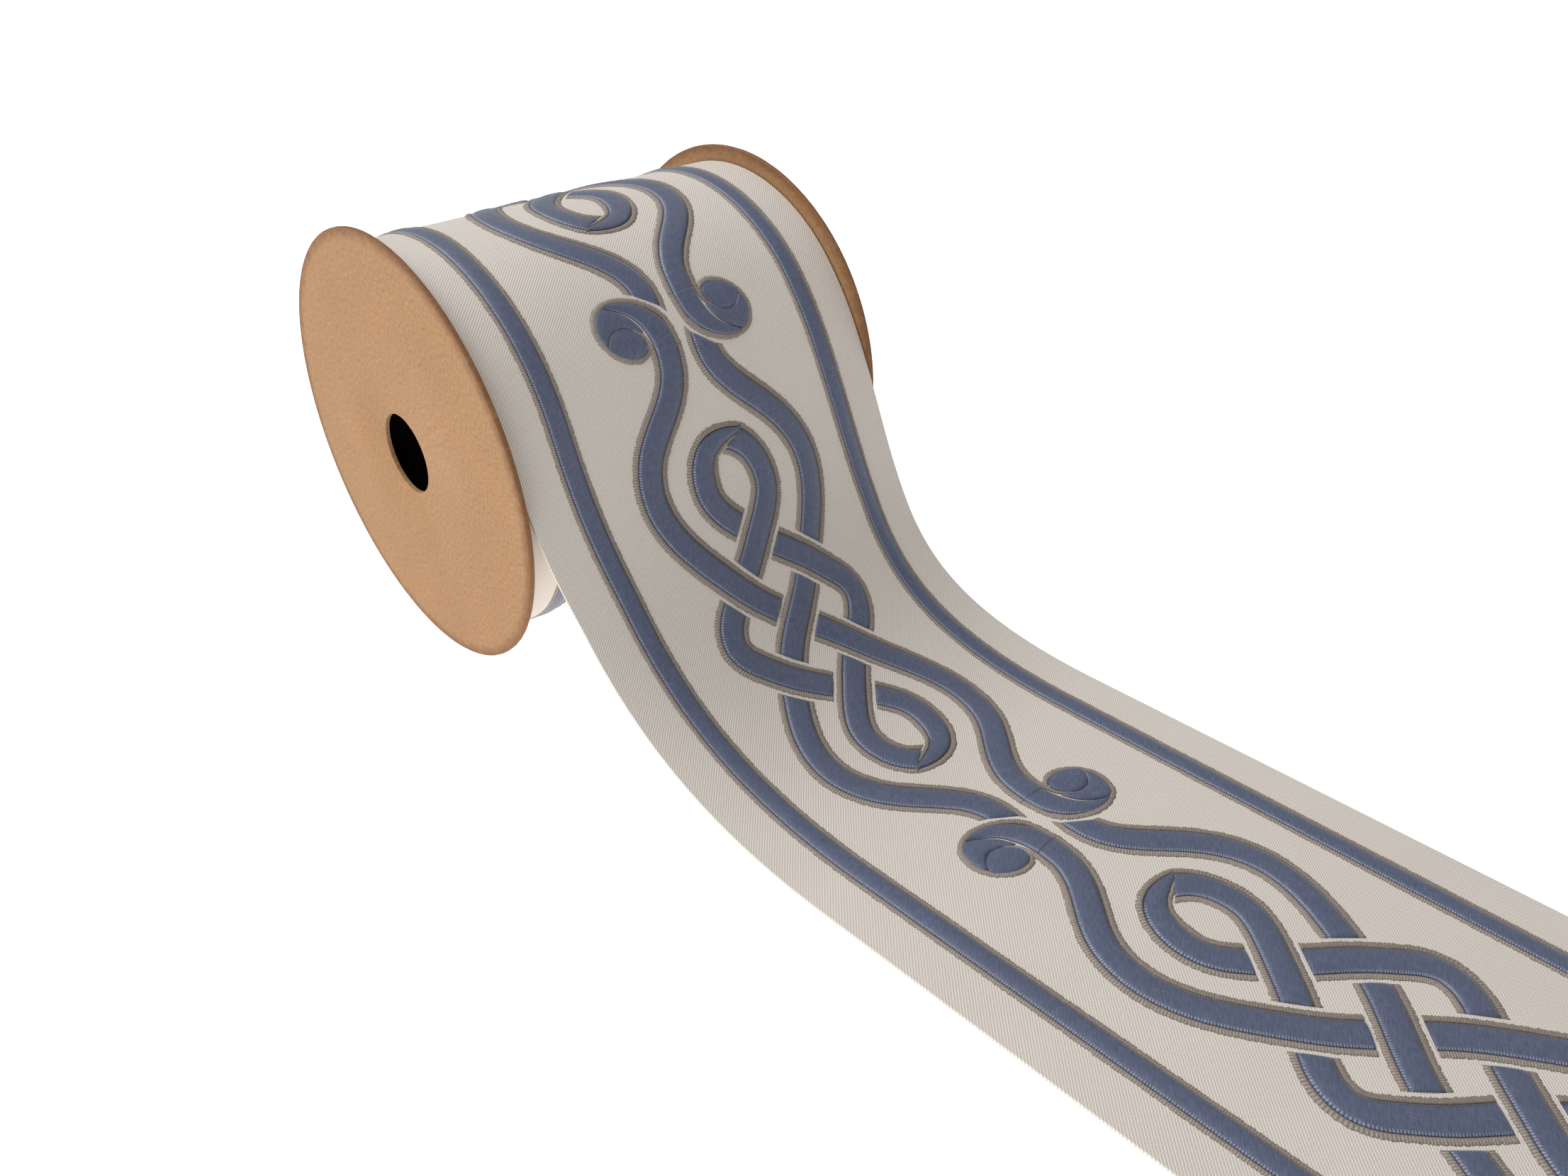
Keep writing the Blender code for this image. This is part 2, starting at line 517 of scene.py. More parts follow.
class Effects:
    """The shader groups that more than one finish uses."""

    def __init__(self) -> None:
        """Builds each group once."""
        self.threads = self.build_threads()
        self.fibres = self.build_fibres()
        self.mottle = self.build_mottle()

    @staticmethod
    def build_threads() -> bpy.types.NodeTree:
        """Parallel threads at a turn and pitch, a little wavy.

        Returns:
            The group's tree.
        """
        nodes = new_group(
            "thread_lines",
            (
                ("Place", "NodeSocketVector", 0.0),
                ("Turn", "NodeSocketFloat", 0.0),
                ("Pitch", "NodeSocketFloat", 0.5),
                ("Waver", "NodeSocketFloat", 0.1),
            ),
            ("Thread",),
        )
        turned = nodes.add("VectorRotate", rotation_type="Z_AXIS")
        nodes.feed(turned.inputs["Vector"], nodes.source["Place"])
        nodes.feed(turned.inputs["Angle"], nodes.source["Turn"])
        side = nodes.parts(turned.outputs[0])[0]
        wander = nodes.math("SUBTRACT", nodes.noise(nodes.source["Place"], 0.9, 2.0), 0.5)
        wander = nodes.math("MULTIPLY", wander, nodes.source["Waver"])
        side = nodes.math("ADD", side, wander)
        phase = nodes.math("DIVIDE", side, nodes.source["Pitch"])
        wave = nodes.math("SINE", nodes.math("MULTIPLY", phase, 2.0 * math.pi))
        nodes.feed(nodes.result["Thread"], nodes.math("MULTIPLY_ADD", wave, 0.5))
        nodes.tree.nodes[-1].inputs[2].default_value = 0.5
        return nodes.tree

    @staticmethod
    def build_fibres() -> bpy.types.NodeTree:
        """Short stray fibres that lie on a cloth or in raw board.

        Returns:
            The group's tree.
        """
        nodes = new_group(
            "stray_fibres",
            (("Place", "NodeSocketVector", 0.0), ("Size", "NodeSocketFloat", 1.0)),
            ("Fibre",),
        )
        layers = []
        for turn, shift in ((0.5, 0.0), (2.1, 17.0), (3.7, 41.0)):
            moved = nodes.add("VectorMath", operation="ADD")
            nodes.feed(moved.inputs[0], nodes.stretched(nodes.source["Place"], (4.2, 0.42, 1.0), turn))
            moved.inputs[1].default_value = (shift, shift, 0.0)
            scaled = nodes.add("VectorMath", operation="SCALE")
            nodes.feed(scaled.inputs[0], moved.outputs[0])
            nodes.feed(scaled.inputs["Scale"], nodes.source["Size"])
            layers.append(nodes.spread(nodes.noise(scaled.outputs[0], 1.0, 1.0), 0.66, 0.76, 0.0, 1.0))
        both = nodes.math("MAXIMUM", layers[0], layers[1])
        nodes.feed(nodes.result["Fibre"], nodes.math("MAXIMUM", both, layers[2]))
        return nodes.tree

    @staticmethod
    def build_mottle() -> bpy.types.NodeTree:
        """Broad and fine unevenness of tone, around 1.

        Returns:
            The group's tree.
        """
        nodes = new_group(
            "uneven_tone",
            (
                ("Place", "NodeSocketVector", 0.0),
                ("Broad", "NodeSocketFloat", 0.1),
                ("Fine", "NodeSocketFloat", 0.1),
            ),
            ("Tone",),
        )
        broad = nodes.math("SUBTRACT", nodes.noise(nodes.source["Place"], 0.05, 3.0), 0.5)
        fine = nodes.math("SUBTRACT", nodes.noise(nodes.source["Place"], 0.9, 3.0), 0.5)
        broad = nodes.math("MULTIPLY", broad, nodes.source["Broad"])
        fine = nodes.math("MULTIPLY", fine, nodes.source["Fine"])
        both = nodes.math("ADD", broad, fine)
        nodes.feed(nodes.result["Tone"], nodes.math("ADD", both, 1.0))
        return nodes.tree


def linear(red: int, green: int, blue: int) -> tuple[float, float, float, float]:
    """A screen colour as the shader's own linear one.

    Args:
        red: From 0 to 255.
        green: From 0 to 255.
        blue: From 0 to 255.

    Returns:
        The linear colour, with full alpha.
    """
    shares = (np.array([red, green, blue]) / 255.0 + 0.055) / 1.055
    return (*(float(share**2.4) for share in shares), 1.0)


class FinishTree(Nodes):
    """One material's nodes around its own Principled shader."""

    def __init__(self, name: str) -> None:
        """Makes the material, empty but for its shader.

        Args:
            name: The material's name.
        """
        self.material = bpy.data.materials.new(name)
        self.material.use_nodes = True
        super().__init__(self.material.node_tree)
        self.shader = self.tree.nodes["Principled BSDF"]

    def coordinates(self, name: UVName) -> Socket:
        """The named coordinates of the piece's mesh."""
        return self.add("UVMap", uv_map=name.value).outputs[0]

    def effect(self, group: bpy.types.NodeTree, place: Socket, **values: object) -> Socket:
        """Places a shader group.

        Args:
            group: The group's tree.
            place: The coordinates that it reads.
            values: The group's other inputs by name.

        Returns:
            Its first output.
        """
        node = self.add("Group", node_tree=group)
        self.feed(node.inputs["Place"], place)
        for label, value in values.items():
            self.feed(node.inputs[label], value)
        return node.outputs[0]

    def tinted(self, colour: object, tone: Socket) -> Socket:
        """Multiplies a colour by a tone around 1.

        Args:
            colour: The colour or socket.
            tone: What it is multiplied by.

        Returns:
            The new colour.
        """
        scale = self.add("VectorMath", operation="SCALE")
        self.feed(scale.inputs[0], colour[:3] if isinstance(colour, tuple) else colour)
        self.feed(scale.inputs["Scale"], tone)
        return scale.outputs[0]

    def relief(self, height: Socket, depth: float, strength: float = 1.0) -> None:
        """Feeds a height into the shader's normal.

        Args:
            height: The height, from 0 to 1.
            depth: What a height of 1 stands for, in millimetres.
            strength: The bump's strength.
        """
        bump = self.add("Bump")
        bump.inputs["Strength"].default_value = strength
        bump.inputs["Distance"].default_value = depth * MM
        self.feed(bump.inputs["Height"], height)
        self.feed(self.shader.inputs["Normal"], bump.outputs[0])

    def settle(self, **values: float) -> None:
        """Sets the shader's own numbers, with underscores for spaces in their names."""
        for label, value in values.items():
            self.shader.inputs[label.replace("_", " ")].default_value = value


@dataclass(frozen=True)
class GroundFinish:
    """The tape's cream ground: a fine diagonal twill with a pebbly face."""

    light: tuple[float, ...] = linear(236, 228, 219)
    shade: tuple[float, ...] = linear(206, 196, 185)
    twill_turn: float = math.radians(-45.0)
    twill_pitch: float = 0.52
    pick_pitch: float = 0.43

    def build(self, effects: Effects) -> bpy.types.Material:
        """Makes the finish.

        Args:
            effects: The shared shader groups.

        Returns:
            The material.
        """
        tree = FinishTree("cream_twill")
        place = tree.coordinates(UVName.TAPE)
        twill = tree.effect(
            effects.threads, place, Turn=self.twill_turn, Pitch=self.twill_pitch, Waver=0.12
        )
        picks = tree.effect(
            effects.threads, place, Turn=math.radians(-82.0), Pitch=self.pick_pitch, Waver=0.25
        )
        weave = tree.math("ADD", tree.math("MULTIPLY", picks, 0.22), tree.math("MULTIPLY", twill, 0.7))
        grain = tree.noise(place, 2.6, 2.0)
        weave = tree.math("ADD", weave, tree.math("MULTIPLY", tree.math("SUBTRACT", grain, 0.5), 0.5))
        colour = tree.blend(tree.spread(weave, 0.05, 0.85, 0.0, 1.0), self.shade, self.light)
        tone = tree.effect(effects.mottle, place, Broad=0.08, Fine=0.05)
        tree.feed(tree.shader.inputs["Base Color"], tree.tinted(colour, tone))
        tree.relief(weave, 0.06)
        tree.settle(Roughness=0.72, Sheen_Weight=0.25, Sheen_Roughness=0.5)
        return tree.material


@dataclass(frozen=True)
class SatinFinish:
    """The slate blue satin: fine floats slanting across the tape, with painted shade along the stitched
    edge and painted highlight ticks on the rims that face the left selvedge.
    """

    crown: tuple[float, ...] = linear(97, 106, 132)
    deep: tuple[float, ...] = linear(80, 88, 112)
    # The edge colour is painted shade at the rims; the tick colour is a painted highlight on them.
    edge: tuple[float, ...] = linear(34, 34, 50)
    tick_highlight: tuple[float, ...] = linear(168, 174, 200)
    fleck: tuple[float, ...] = linear(140, 147, 172)
    slant: float = math.radians(-57.0)
    float_pitch: float = 0.24
    tooth_pitch: float = 0.52

    def build(self, effects: Effects) -> bpy.types.Material:
        """Makes the finish.

        Args:
            effects: The shared shader groups.

        Returns:
            The material.
        """
        tree = FinishTree("slate_satin")
        place = tree.coordinates(UVName.TAPE)
        along, across, _ = tree.parts(tree.coordinates(UVName.STRAND))
        floats = tree.effect(
            effects.threads, place, Turn=self.slant, Pitch=self.float_pitch, Waver=0.35
        )
        streaks = tree.noise(tree.stretched(place, (3.4, 0.5, 1.0), self.slant), 1.0, 3.0)
        colour = tree.blend(tree.spread(streaks, 0.3, 0.7, 0.0, 1.0), self.deep, self.crown)
        colour = tree.blend(tree.math("MULTIPLY", floats, 0.2), colour, self.deep)
        fibres = tree.effect(effects.fibres, place, Size=0.55)
        colour = tree.blend(tree.math("MULTIPLY", fibres, 0.22), colour, self.fleck)
        jitter = tree.math("MULTIPLY", tree.noise(place, 1.7, 1.0), 0.8)
        tooth = tree.math("ADD", tree.math("DIVIDE", along, self.tooth_pitch), jitter)
        tooth = tree.math("ABSOLUTE", tree.math("SUBTRACT", tree.math("FRACT", tooth), 0.5))
        comb = tree.spread(tooth, 0.14, 0.34, 0.0, 1.0)
        rim = tree.math("ABSOLUTE", across)
        near_rim = tree.spread(rim, 0.7, 0.86, 0.0, 1.0)
        # Painted highlight: pale ticks on the rims that face the left selvedge, as if lit from that side.
        # Their comb follows the floats' ends.
        facing = tree.parts(tree.coordinates(UVName.SIDE))[0]
        lit = tree.math("MULTIPLY", near_rim, tree.spread(facing, -0.75, -0.3, 0.75, 0.0))
        colour = tree.blend(tree.math("MULTIPLY", lit, comb), colour, self.tick_highlight)
        # Painted shade: the rims that face the right selvedge darken between the ticks.
        shaded = tree.math("MULTIPLY", near_rim, tree.spread(facing, 0.1, 0.7, 0.15, 0.7))
        gaps = tree.math("SUBTRACT", 1.0, comb)
        colour = tree.blend(tree.math("MULTIPLY", shaded, gaps), colour, self.edge)
        # Painted shade: a dark line along the very rim, where the satin drops to the cord.
        rim = tree.spread(rim, 0.93, 0.99, 0.0, 0.8)
        colour = tree.blend(rim, colour, self.edge)
        tone = tree.effect(effects.mottle, place, Broad=0.12, Fine=0.10)
        tree.feed(tree.shader.inputs["Base Color"], tree.tinted(colour, tone))
        relief = tree.math("ADD", tree.math("MULTIPLY", floats, 0.5), tree.math("MULTIPLY", streaks, 0.6))
        tree.relief(relief, 0.035)
        tree.settle(Roughness=0.46, Sheen_Weight=0.35, Sheen_Roughness=0.4)
        return tree.material


@dataclass(frozen=True)
class CordFinish:
    """The taupe outline stitch: short ribs side by side, with painted shade in the slits between them and
    along both edges, and a painted highlight on the cords that face the left selvedge.
    """

    # The slit colour is painted shade in the slits and along the outer edge, the rim colour is painted
    # shade along the inner edge, and the pale colour is a painted highlight.
    rib: tuple[float, ...] = linear(156, 143, 130)
    pale: tuple[float, ...] = linear(186, 175, 164)
    slit_shade: tuple[float, ...] = linear(96, 86, 80)
    rim: tuple[float, ...] = linear(48, 43, 54)
    speck: tuple[float, ...] = linear(205, 196, 188)

    def build(self, effects: Effects) -> bpy.types.Material:
        """Makes the finish.

        Args:
            effects: The shared shader groups.

        Returns:
            The material.
        """
        tree = FinishTree("taupe_cord")
        place = tree.coordinates(UVName.TAPE)
        stitch, side, _ = tree.parts(tree.coordinates(UVName.STRAND))
        part = tree.math("ABSOLUTE", tree.math("SUBTRACT", tree.math("FRACT", stitch), 0.5))
        # Painted shade in the slits between stitches.
        slit_shade = tree.spread(part, 0.12, 0.42, 0.6, 0.0)
        grain = tree.noise(place, 3.5, 2.0)
        # Painted highlight: cords that face the left selvedge are drawn paler, as if lit from that side.
        facing = tree.parts(tree.coordinates(UVName.SIDE))[0]
        rib = tree.blend(tree.spread(facing, -0.9, 0.3, 0.6, 0.0), self.rib, self.pale)
        rib = tree.tinted(rib, tree.spread(grain, 0.3, 0.7, 0.76, 1.2))
        colour = tree.blend(slit_shade, rib, self.slit_shade)
        # Painted shade: a dark line along the inner edge, in the crease where the cord meets the satin.
        inner = tree.math("SUBTRACT", side, tree.math("MULTIPLY", part, 0.35))
        colour = tree.blend(tree.spread(inner, -0.1, 0.14, 0.92, 0.0), colour, self.rim)
        # Painted shade along the cord's outer edge, where it drops to the ground.
        colour = tree.blend(tree.spread(side, 0.86, 1.0, 0.0, 0.35), colour, self.slit_shade)
        fibres = tree.effect(effects.fibres, place, Size=1.1)
        colour = tree.blend(tree.math("MULTIPLY", fibres, 0.35), colour, self.speck)
        tree.feed(tree.shader.inputs["Base Color"], colour)
        tree.relief(grain, 0.05)
        tree.settle(Roughness=0.7, Sheen_Weight=0.2, Sheen_Roughness=0.5)
        return tree.material


@dataclass(frozen=True)
class BoardFinish:
    """Raw brown board: fibrous, mottled, and darker toward its cut rim."""

    name: str = "raw_board"
    face: tuple[float, ...] = linear(178, 138, 96)
    dark: tuple[float, ...] = linear(158, 117, 77)
    rim: tuple[float, ...] = linear(118, 74, 42)
    pale: tuple[float, ...] = linear(206, 168, 124)
    roughness: float = 0.82

    def build(self, effects: Effects) -> bpy.types.Material:
        """Makes the finish.

        Args:
            effects: The shared shader groups.

        Returns:
            The material.
        """
        tree = FinishTree(self.name)
        place = tree.coordinates(UVName.FACE)
        length = tree.add("VectorMath", operation="LENGTH")
        tree.feed(length.inputs[0], place)
        radius = length.outputs["Value"]
        pulp = tree.noise(tree.stretched(place, (1.0, 0.6, 1.0), 0.4), 1.7, 6.0)
        colour = tree.blend(tree.spread(pulp, 0.3, 0.7, 0.0, 1.0), self.dark, self.face)
        # Darker toward the cut rim, in a band that wanders with noise.
        toward_rim = tree.math("ADD", radius, tree.math("MULTIPLY", tree.noise(place, 0.35, 3.0), 3.0))
        colour = tree.blend(tree.spread(toward_rim, 50.0, 53.6, 0.0, 0.75), colour, self.rim)
        fibres = tree.effect(effects.fibres, place, Size=0.9)
        colour = tree.blend(tree.math("MULTIPLY", fibres, 0.16), colour, self.pale)
        specks = tree.spread(tree.noise(place, 3.1, 1.0), 0.68, 0.76, 0.0, 0.35)
        colour = tree.blend(specks, colour, self.rim)
        tone = tree.effect(effects.mottle, place, Broad=0.22, Fine=0.10)
        tree.feed(tree.shader.inputs["Base Color"], tree.tinted(colour, tone))
        tree.relief(tree.math("ADD", pulp, tree.math("MULTIPLY", fibres, 0.3)), 0.05)
        tree.settle(Roughness=self.roughness)
        return tree.material


@dataclass(frozen=True)
class PaintedBoreShade:
    """Painted shade: a near-black brown stands in for the shade on the inside of the roll, seen through the
    spindle hole.
    """

    colour: tuple[float, ...] = linear(30, 19, 15)

    def build(self, effects: Effects) -> bpy.types.Material:
        """Makes the finish.

        Args:
            effects: The shared shader groups.

        Returns:
            The material.
        """
        tree = FinishTree("bore_painted_shade")
        place = tree.coordinates(UVName.FACE)
        tone = tree.effect(effects.mottle, place, Broad=0.3, Fine=0.3)
        tree.feed(tree.shader.inputs["Base Color"], tree.tinted(self.colour, tone))
        tree.relief(tree.noise(place, 0.8, 3.0), 0.1)
        tree.settle(Roughness=0.95, Specular_IOR_Level=0.1)
        return tree.material


class Polygons:
    """Arrays of points, faces and coordinates that grow into one mesh."""

    def __init__(self) -> None:
        """Starts with nothing in it."""
        self.points: list[Array] = []
        self.faces: list[Array] = []
        self.uvs: dict[UVName, list[Array]] = {}
        self.count = 0

    def add(self, points: Array, faces: list[Array], **uvs: Array) -> None:
        """Adds one body.

        Args:
            points: Its points.
            faces: Arrays of faces, each with one number of corners, counted from 0.
            uvs: Coordinates for each point, by lower-case name.
        """
        self.points.append(points)
        self.faces.extend(face + self.count for face in faces if len(face))
        for label, rows in uvs.items():
            self.uvs.setdefault(UVName(label), []).append(rows)
        self.count += len(points)

    def mesh(self, name: str, points: Array | None = None) -> bpy.types.Mesh:
        """Makes the mesh.

        Args:
            name: The mesh's name.
            points: Other places for the points, where they are mapped.

        Returns:
            The mesh, smooth shaded, with its coordinates.
        """
        if points is None:
            points = np.concatenate(self.points)
        corners = np.concatenate([face.ravel() for face in self.faces]).astype(np.int32)
        sizes = np.concatenate([np.full(len(face), face.shape[1]) for face in self.faces])
        starts = np.concatenate([[0], np.cumsum(sizes)[:-1]]).astype(np.int32)
        mesh = bpy.data.meshes.new(name)
        mesh.vertices.add(len(points))
        mesh.vertices.foreach_set("co", points.astype(np.float32).ravel())
        mesh.loops.add(len(corners))
        mesh.loops.foreach_set("vertex_index", corners)
        mesh.polygons.add(len(starts))
        mesh.polygons.foreach_set("loop_start", starts)
        mesh.update(calc_edges=True)
        for label, rows in self.uvs.items():
            layer = mesh.uv_layers.new(name=label.value)
            layer.uv.foreach_set("vector", np.concatenate(rows)[corners].astype(np.float32).ravel())
        mesh.shade_smooth()
        return mesh


def ring_faces(rings: int, size: int) -> Array:
    """Quads between closed rings of points that follow each other.

    Args:
        rings: How many rings.
        size: Points in each ring.

    Returns:
        The quads.
    """
    ring = np.arange(rings - 1)[:, None] * size
    here = np.arange(size)[None, :]
    after = (here + 1) % size
    quads = np.stack([ring + here, ring + after, ring + size + after, ring + size + here], axis=-1)
    return quads.reshape(-1, 4)


def show(mesh: bpy.types.Mesh, finish: bpy.types.Material, slot: str, *nodes: str) -> bpy.types.Object:
    """Puts a mesh in the scene as a piece of the part.

    Args:
        mesh: The piece's mesh.
        finish: Its material.
        slot: The record's material slot; not used.
        nodes: The CAD nodes that it stands for, if any.

    Returns:
        The piece.
    """
    mesh.materials.append(finish)
    piece = bpy.data.objects.new(mesh.name, mesh)
    bpy.context.scene.collection.objects.link(piece)
    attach(piece, "root")
    if nodes:
        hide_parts(*nodes)
    triangles = sum(len(face.vertices) - 2 for face in mesh.polygons)
    log.info("%s: %d points, %d triangles", piece.name, len(mesh.vertices), triangles)
    return piece


class Stitch(Enum):
    """The two kinds of raised stitching."""

    SATIN = "satin"
    CORD = "cord"


@dataclass(frozen=True)
class StitchRelief:
    """How a kind of stitching stands on the ground, in millimetres."""

    row_pitch: float
    columns: int
    foot: float
    crown: float
    fullness: float


RELIEFS = {
    Stitch.SATIN: StitchRelief(row_pitch=0.5, columns=7, foot=0.16, crown=0.42, fullness=2.4),
    Stitch.CORD: StitchRelief(row_pitch=0.26, columns=4, foot=0.05, crown=0.34, fullness=2.4),
}


@dataclass
class Ribbon:
    """One strip of stitching as flat rows and columns of places."""

    grid: Array
    along: Array
    kind: Stitch
    satin_side: int = 0
    joined: bool = False

    def shifted(self, across: float, along: float) -> "Ribbon":
        """The same strip elsewhere on the tape, moved by millimetres across and along it."""
        return replace(self, grid=self.grid + np.array([across, along]))


class Stitchery:
    """Turns ribbons into raised closed strips on the tape."""

    def __init__(self, ground_top: float, limits: tuple[float, float], seed: int) -> None:
        """Starts an empty set of strips.

        Args:
            ground_top: Height of the ground's face over the tape's underside.
            limits: Where the tape starts and is cut, along it.
            seed: Where the unevenness starts.
        """
        self.ground_top = ground_top
        self.limits = limits
        self.random = np.random.default_rng(seed)
        self.polygons = Polygons()

    def profile(self, ribbon: Ribbon) -> Array:
        """Heights over the ground for each row and column of a ribbon.

        Args:
            ribbon: The strip.

        Returns:
            The heights.
        """
        relief = RELIEFS[ribbon.kind]
        rows, columns = ribbon.grid.shape[:2]
        across = np.linspace(-1.0, 1.0, columns)
        dome = 1.0 - np.abs(across) ** relief.fullness
        height = relief.foot + relief.crown * np.tile(dome, (rows, 1))
        if ribbon.kind is Stitch.CORD:
            stitch = np.arange(rows) % 2
            strength = self.random.uniform(0.8, 1.12, rows)
            height *= (np.where(stitch == 1, 1.0, 0.76) * strength)[:, None]
        else:
            height *= self.random.normal(1.0, 0.025, (rows, 1))
        ends = np.minimum(np.arange(rows), np.arange(rows)[::-1])
        if not ribbon.joined:
            height *= np.interp(ends, [0, 1, 2], [0.45, 0.85, 1.0])[:, None]
        return height

    def add(self, ribbon: Ribbon) -> None:
        """Adds one ribbon as a closed strip, trimmed at the tape's ends.

        Args:
            ribbon: The strip.
        """
        low, high = ribbon.grid[..., 1].min(), ribbon.grid[..., 1].max()
        if high < self.limits[0] or low > self.limits[1]:
            return
        rows, columns = ribbon.grid.shape[:2]
        top = self.ground_top + self.profile(ribbon)
        grid = ribbon.grid.copy()
        if ribbon.kind is Stitch.CORD and ribbon.satin_side:
            outer = 0 if ribbon.satin_side > 0 else columns - 1
            inner = columns - 1 - outer
            reach = grid[:, outer] - grid[:, inner]
            reach /= np.linalg.norm(reach, axis=1)[:, None] + 1e-9
            grid[:, outer] += reach * self.random.uniform(-0.16, 0.14, (rows, 1))
        size = columns + 2
        ring = np.empty((rows, size, 3))
        ring[:, 1:-1, :2] = grid
        ring[:, 1:-1, 2] = top
        ring[:, 0, :2] = grid[:, 0]
        ring[:, -1, :2] = grid[:, -1]
        ring[:, (0, -1), 2] = self.ground_top - 0.2
        strand = np.empty((rows, size, 3))
        wide = np.zeros((rows, size), int)
        wide[:, 1:-1] = np.arange(columns)
        wide[:, -1] = columns - 1
        if ribbon.kind is Stitch.CORD:
            side = np.linspace(0.0, 1.0, columns)
            side = side[::-1] if ribbon.satin_side > 0 else side
            strand[..., 0] = np.arange(rows)[:, None] / 2.0
        else:
            side = np.linspace(-1.0, 1.0, columns)
            strand[..., 0] = np.take_along_axis(ribbon.along, wide, axis=1)
        strand[..., 1] = side[wide]
        facing = self.facing(ribbon)
        strand[..., 2] = np.take_along_axis(facing, wide, axis=1)
        points = ring.reshape(-1, 3)
        strand = strand.reshape(-1, 3)
        faces = [ring_faces(rows, size)]
        faces.append(np.arange(size)[None, ::-1])
        faces.append((np.arange(size) + (rows - 1) * size)[None, :])
        if self.turned_in(grid):
            faces = [face[:, ::-1] for face in faces]
        if low < self.limits[0] or high > self.limits[1]:
            points, faces, strand = self.trimmed(points, faces, strand)
        if len(points):
            side = np.stack([strand[:, 2], np.zeros(len(strand))], axis=1)
            self.polygons.add(points, faces, strand=strand[:, :2], side=side, tape=points[:, :2])

    @staticmethod
    def facing(ribbon: Ribbon) -> Array:
        """How far each column looks toward the right selvedge, from -1 to 1.

        Args:
            ribbon: The strip.

        Returns:
            The values, in rows and columns.
        """
        reach = ribbon.grid[:, -1] - ribbon.grid[:, 0]
        turn = reach[:, :1] / (np.linalg.norm(reach, axis=1)[:, None] + 1e-9)
        if ribbon.satin_side:
            return np.tile(-turn * ribbon.satin_side, (1, ribbon.grid.shape[1]))
        return turn * np.linspace(-1.0, 1.0, ribbon.grid.shape[1])[None, :]

    @staticmethod
    def turned_in(grid: Array) -> bool:
        """Whether a grid's rows and columns run so that its faces would look down.

        Args:
            grid: Rows and columns of flat places.

        Returns:
            True where the faces have to be turned over.
        """
        middle = len(grid) // 2
        forward = grid[min(middle + 1, len(grid) - 1)].mean(axis=0) - grid[middle - 1].mean(axis=0)
        sideways = grid[middle, -1] - grid[middle, 0]
        return forward[0] * sideways[1] - forward[1] * sideways[0] > 0.0

    def trimmed(self, points: Array, faces: list[Array], strand: Array) -> tuple[Array, list[Array], Array]:
        """Cuts a closed strip square at the tape's ends.

        Args:
            points: The strip's flat points.
            faces: Its faces.
            strand: Its strand coordinates, one row for each point.

        Returns:
            The points, faces and strand coordinates that are left.
        """
        work = bmesh.new()
        layers = [work.verts.layers.float.new(str(column)) for column in range(strand.shape[1])]
        for point, values in zip(points, strand):
            made = work.verts.new(point)
            for layer, value in zip(layers, values):
                made[layer] = value
        work.verts.ensure_lookup_table()
        for group in faces:
            for face in group:
                work.faces.new([work.verts[int(corner)] for corner in face])
        for limit, direction in zip(self.limits, (-1.0, 1.0)):
            cut = bmesh.ops.bisect_plane(
                work,
                geom=work.verts[:] + work.edges[:] + work.faces[:],
                plane_co=(0.0, limit, 0.0),
                plane_no=(0.0, direction, 0.0),
                clear_outer=True,
            )
            edges = [item for item in cut["geom_cut"] if isinstance(item, bmesh.types.BMEdge)]
            if edges:
                bmesh.ops.holes_fill(work, edges=edges)
        work.verts.index_update()
        kept = np.array([point.co[:] for point in work.verts]).reshape(-1, 3)
        labels = np.array([[point[layer] for layer in layers] for point in work.verts])
        labels = labels.reshape(-1, len(layers))
        by_size: dict[int, list[list[int]]] = {}
        for face in work.faces:
            by_size.setdefault(len(face.verts), []).append([corner.index for corner in face.verts])
        work.free()
        return kept, [np.array(group) for group in by_size.values()], labels


@dataclass(frozen=True)
class Crossing:
    """Where one strand passes under another, in the knot's own millimetres."""

    under: str
    over: str
    along: float
    across: float


@dataclass
class Strand:
    """One band of the interlace: a satin middle between two outline cords."""

    name: str
    centre: Array
    offsets: Array

    def column(self, lane: int, share: float) -> Array:
        """A line of one lane: the right cord, the satin or the left cord.

        Args:
            lane: 0, 1 or 2, from the strand's right-hand side.
            share: 0 at the lane's right side and 1 at its left side.

        Returns:
            The line's points.
        """
        tuck = (0.0, 0.05, 0.0, 0.05)
        first = self.offsets[:, lane] - (tuck[lane] if lane == 2 else 0.0)
        second = self.offsets[:, lane + 1] + (tuck[lane + 1] if lane == 0 else 0.0)
        place = first + (second - first) * share
        return self.centre + left_normals(self.centre) * place[:, None]


